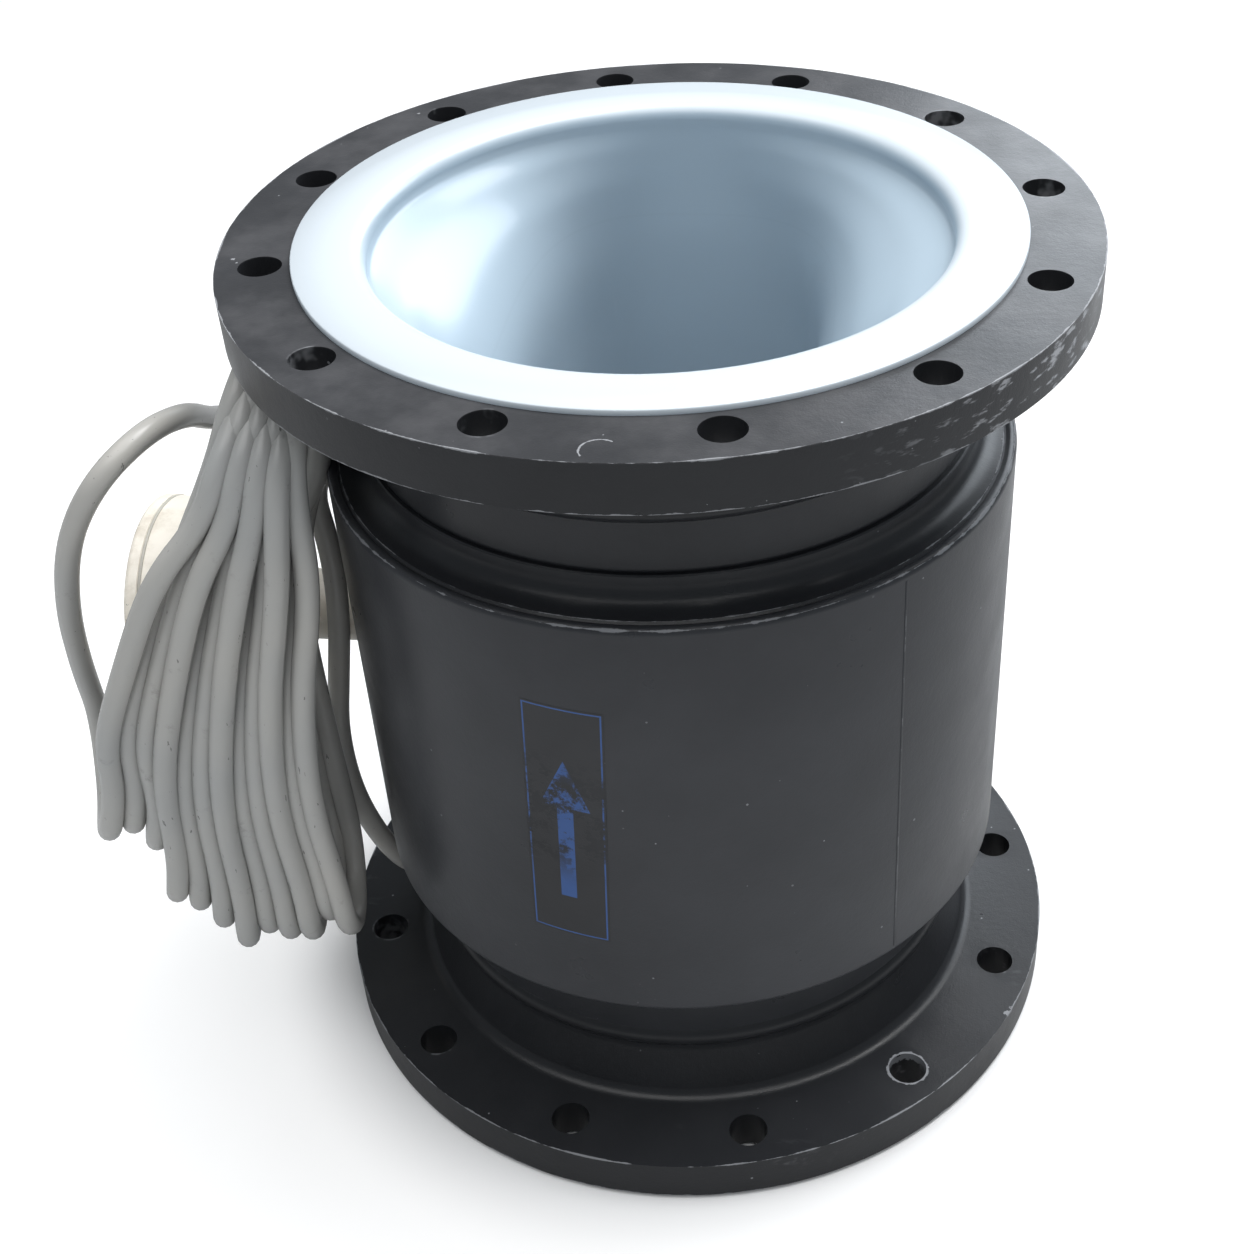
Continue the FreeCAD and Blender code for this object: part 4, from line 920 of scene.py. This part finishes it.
class SENSOR_OT_cable(bpy.types.Operator):
    """Signal cable: free loop, hank under the flange and tail"""
    bl_idname = "flow_sensor.cable"
    bl_label = "Cable"

    def fold(self, centre, way, back, side):
        """Corners of a half turn about the centre and of the straights into and out of it.

        The side says on which leg it starts, 1 behind and -1 in front.
        """
        way = way.normalized()
        across = (back - way * way.dot(back)).normalized() * side
        reach = sizes().fold_radius / math.cos(math.pi / 8)
        return [centre + (across * math.cos(turn) + way * math.sin(turn)) * reach
                for turn in [math.pi * (2 * step - 1) / 8 for step in range(6)]]

    def turn(self, number, share):
        """Foot, front run, crest and back run of one turn that lies a share of the way to the right edge."""
        def between(name):
            return Vector(LEFT_TURN[name]).lerp(Vector(RIGHT_TURN[name]), share)

        def run(name):
            return [Vector(left).lerp(Vector(right), share) for left, right in zip(LEFT_TURN[name], RIGHT_TURN[name])]

        # the middle turns hang lower, those near the left edge less
        hang = math.sin(math.pi * share) ** 1.6 - 0.45 * max(0, 1 - abs(share - 0.14) / 0.14)
        low = sizes().hank_sag * hang + 0.005 * math.sin(2.3 * number + 0.6)
        down = Vector((0.30 * (1 - share) * low + 0.001 * math.sin(1.9 * number), 0, low))
        layer = (1, -1, 0)[number % 3]

        def moved(places, sags, pushes):
            """Hung lower by the sags and pushed towards the turn's own layer."""
            return [place - down * sag - Vector((0, LAYER_GAP * layer * push, 0))
                    for place, sag, push in zip(places, sags, pushes)]

        foot = self.fold(between("foot"), between("foot_way"), between("foot_back"), 1)
        crest_spot = between("crest") - AXIS_Z * CREST_DROP * (layer + 1)
        crest = self.fold(crest_spot, between("crest_way"), Vector(CREST_BACK), -1)
        return [moved(foot, [1] * 6, [0.2] * 6), moved(run("front"), (0.5, 0.2, 0), (0.25, 0.5, 0.9)),
                moved(crest, [0] * 6, [1] * 6), moved(run("back"), (0, 0.1, 0.4), (1.0, 0.7, 0.3))]

    def turns(self):
        """Control points of the hank, turn after turn from its left edge to its right."""
        last = sizes().hank_turns - 1
        points = []
        for turn in range(last + 1):
            foot, front, crest, back = self.turn(turn, turn / last)
            if turn == 0:
                foot = foot[2:]             # the lead comes down into the first foot
            points += foot + front + crest + (back if turn < last else [])
        return [tuple(point) for point in points]

    def execute(self, context):
        size = sizes()
        points = LEAD_ROUTE[:-1] + self.turns() + TAIL_ROUTE
        curve = bpy.data.curves.new("signal_cable", "CURVE")
        curve.dimensions = "3D"
        curve.resolution_u = curve.render_resolution_u = 8
        curve.bevel_depth = size.cable_diameter / 2
        curve.bevel_resolution = 5
        curve.use_fill_caps = True
        spline = curve.splines.new("NURBS")
        spline.points.add(len(points) - 1)
        for point, place in zip(spline.points, points):
            point.co = (*place, 1.0)
        spline.order_u = 3
        spline.use_endpoint_u = True
        curve.materials.append(cable_sheath())
        thing = linked("signal_cable", curve)
        bare = curve.copy()
        bare.bevel_depth = 0
        probe = linked("probe", bare)
        line = evaluated_mesh(probe)
        bpy.data.objects.remove(probe)
        stands_for(thing, "cable_sheath", "cable_lead", "cable_hank", "cable_tail")
        return {"FINISHED"}


# ---------------- stage
class SENSOR_OT_stage(bpy.types.Operator):
    """Pale floor, studio lamps and camera"""
    bl_idname = "flow_sensor.stage"
    bl_label = "Stage"

    def lamp(self, name, place, target, widths, power, shade=(1, 1, 1)):
        light = bpy.data.lights.new(name, "AREA")
        light.shape = "RECTANGLE"
        light.size, light.size_y = widths
        light.energy = power
        light.color = shade
        thing = linked(name, light)
        thing.location = place
        thing.rotation_euler = (Vector(target) - Vector(place)).to_track_quat("-Z", "Y").to_euler()

    def execute(self, context):
        scene = context.scene
        scene.view_settings.view_transform = "Standard"
        camera = bpy.data.cameras.new("Camera")
        camera.lens = 54.10
        camera.sensor_width = 36
        camera.shift_x = -0.0666
        camera.shift_y = 0.0106
        camera.clip_start = 0.05
        camera.clip_end = 50
        eye = linked("Camera", camera)
        eye.location = (0.1342, -0.8717, 0.9129)
        eye.rotation_euler = [math.radians(angle) for angle in (52.277, 2.019, 6.140)]
        scene.camera = eye

        bm = bmesh.new()
        bmesh.ops.create_grid(bm, x_segments=2, y_segments=2, size=8)
        material, tree, surface = new_material("Studio floor")
        tree.fill(surface, Base_Color=tint("floor"), Roughness=0.9, Specular_IOR_Level=0.1)
        path = tree.node("ShaderNodeLightPath").outputs
        shine = tree.node("ShaderNodeEmission")
        # bright to the camera away from the meter's foot, dark in reflections; under and round the foot the floor is
        # left darker, a painted shade
        tree.fill(shine.inputs, Color=full(1, 1, 1), Strength=tree.span(path["Is Glossy Ray"], 0.0, 1.0, 1.35, 0.0))
        # the brightening fades out towards the foot: painted shade round it and under the flange, seen through the
        # bolt holes
        x, y = tree.split(tree.place())[:2]
        seen = tree.times(tree.math("MAXIMUM", path["Is Camera Ray"], path["Is Transmission Ray"]),
                          tree.span(tree.hypot(x, y), RIM_R - 0.02, RIM_R + 0.06))
        share = tree.math("MAXIMUM", tree.times(seen, 0.43), tree.times(path["Is Glossy Ray"], 0.5))
        nodes = material.node_tree.nodes
        tree.feed(nodes["Material Output"].inputs["Surface"], tree.blend(share, nodes["Principled BSDF"], shine))
        add_object("studio_floor", bm, material)

        world = bpy.data.worlds.new("Studio")
        scene.world = world
        world.use_nodes = True
        tree = Tree(world.node_tree)
        path = tree.node("ShaderNodeLightPath").outputs
        light = world.node_tree.nodes["Background"]
        tree.fill(light.inputs, Color=full(0.86, 0.93, 1.0),
                  Strength=tree.span(path["Is Glossy Ray"], 0.0, 1.0, 0.29, 0.24))
        white = tree.node("ShaderNodeBackground")
        tree.fill(white.inputs, Color=full(1, 1, 1), Strength=1.0)
        tree.feed(world.node_tree.nodes["World Output"].inputs[0], tree.blend(path["Is Camera Ray"], light, white))

        self.lamp("Key", (0.70, 0.50, 2.4), (0, 0, 0.4), (1.6, 1.6), 47)
        self.lamp("Top", (-0.2, -0.5, 2.7), (-0.2, -0.5, 0), (3.0, 3.0), 62)
        self.lamp("Back", (1.0, 1.7, 1.3), (0, 0, 0.4), (2.0, 0.9), 26, (0.86, 0.93, 1))
        return {"FINISHED"}


class SENSOR_PT_panel(bpy.types.Panel):
    """Lists the builders of the flow sensor"""
    bl_idname = "SENSOR_PT_panel"
    bl_label = "Flow Sensor"
    bl_space_type = "VIEW_3D"
    bl_region_type = "UI"
    bl_category = "Flow Sensor"

    def draw(self, context):
        for operator in OPERATORS:
            self.layout.operator(operator.bl_idname)
        for group_of in (sizes(), colours()):
            for name in group_of.__annotations__:
                self.layout.prop(group_of, name)


OPERATORS = (SENSOR_OT_stage, SENSOR_OT_cable, SENSOR_OT_flanges, SENSOR_OT_housing, SENSOR_OT_liner,
             SENSOR_OT_junction_box, SENSOR_OT_entries, SENSOR_OT_label, SENSOR_OT_inner_parts)
CLASSES = (FlowSensorSizes, FlowSensorColours) + OPERATORS + (SENSOR_PT_panel,)


def register():
    for cls in CLASSES:
        bpy.utils.register_class(cls)
    bpy.types.Scene.flow_sensor_sizes = PointerProperty(type=FlowSensorSizes)
    bpy.types.Scene.flow_sensor_colours = PointerProperty(type=FlowSensorColours)


def unregister():
    del bpy.types.Scene.flow_sensor_colours
    del bpy.types.Scene.flow_sensor_sizes
    for cls in reversed(CLASSES):
        bpy.utils.unregister_class(cls)


def main():
    register()
    bpy.ops.flow_sensor.stage()
    bpy.ops.flow_sensor.cable()
    bpy.ops.flow_sensor.flanges()
    bpy.ops.flow_sensor.housing()
    bpy.ops.flow_sensor.liner()
    bpy.ops.flow_sensor.junction_box()
    bpy.ops.flow_sensor.entries()
    bpy.ops.flow_sensor.label()
    bpy.ops.flow_sensor.inner_parts()


if __name__ == "__main__":
    main()
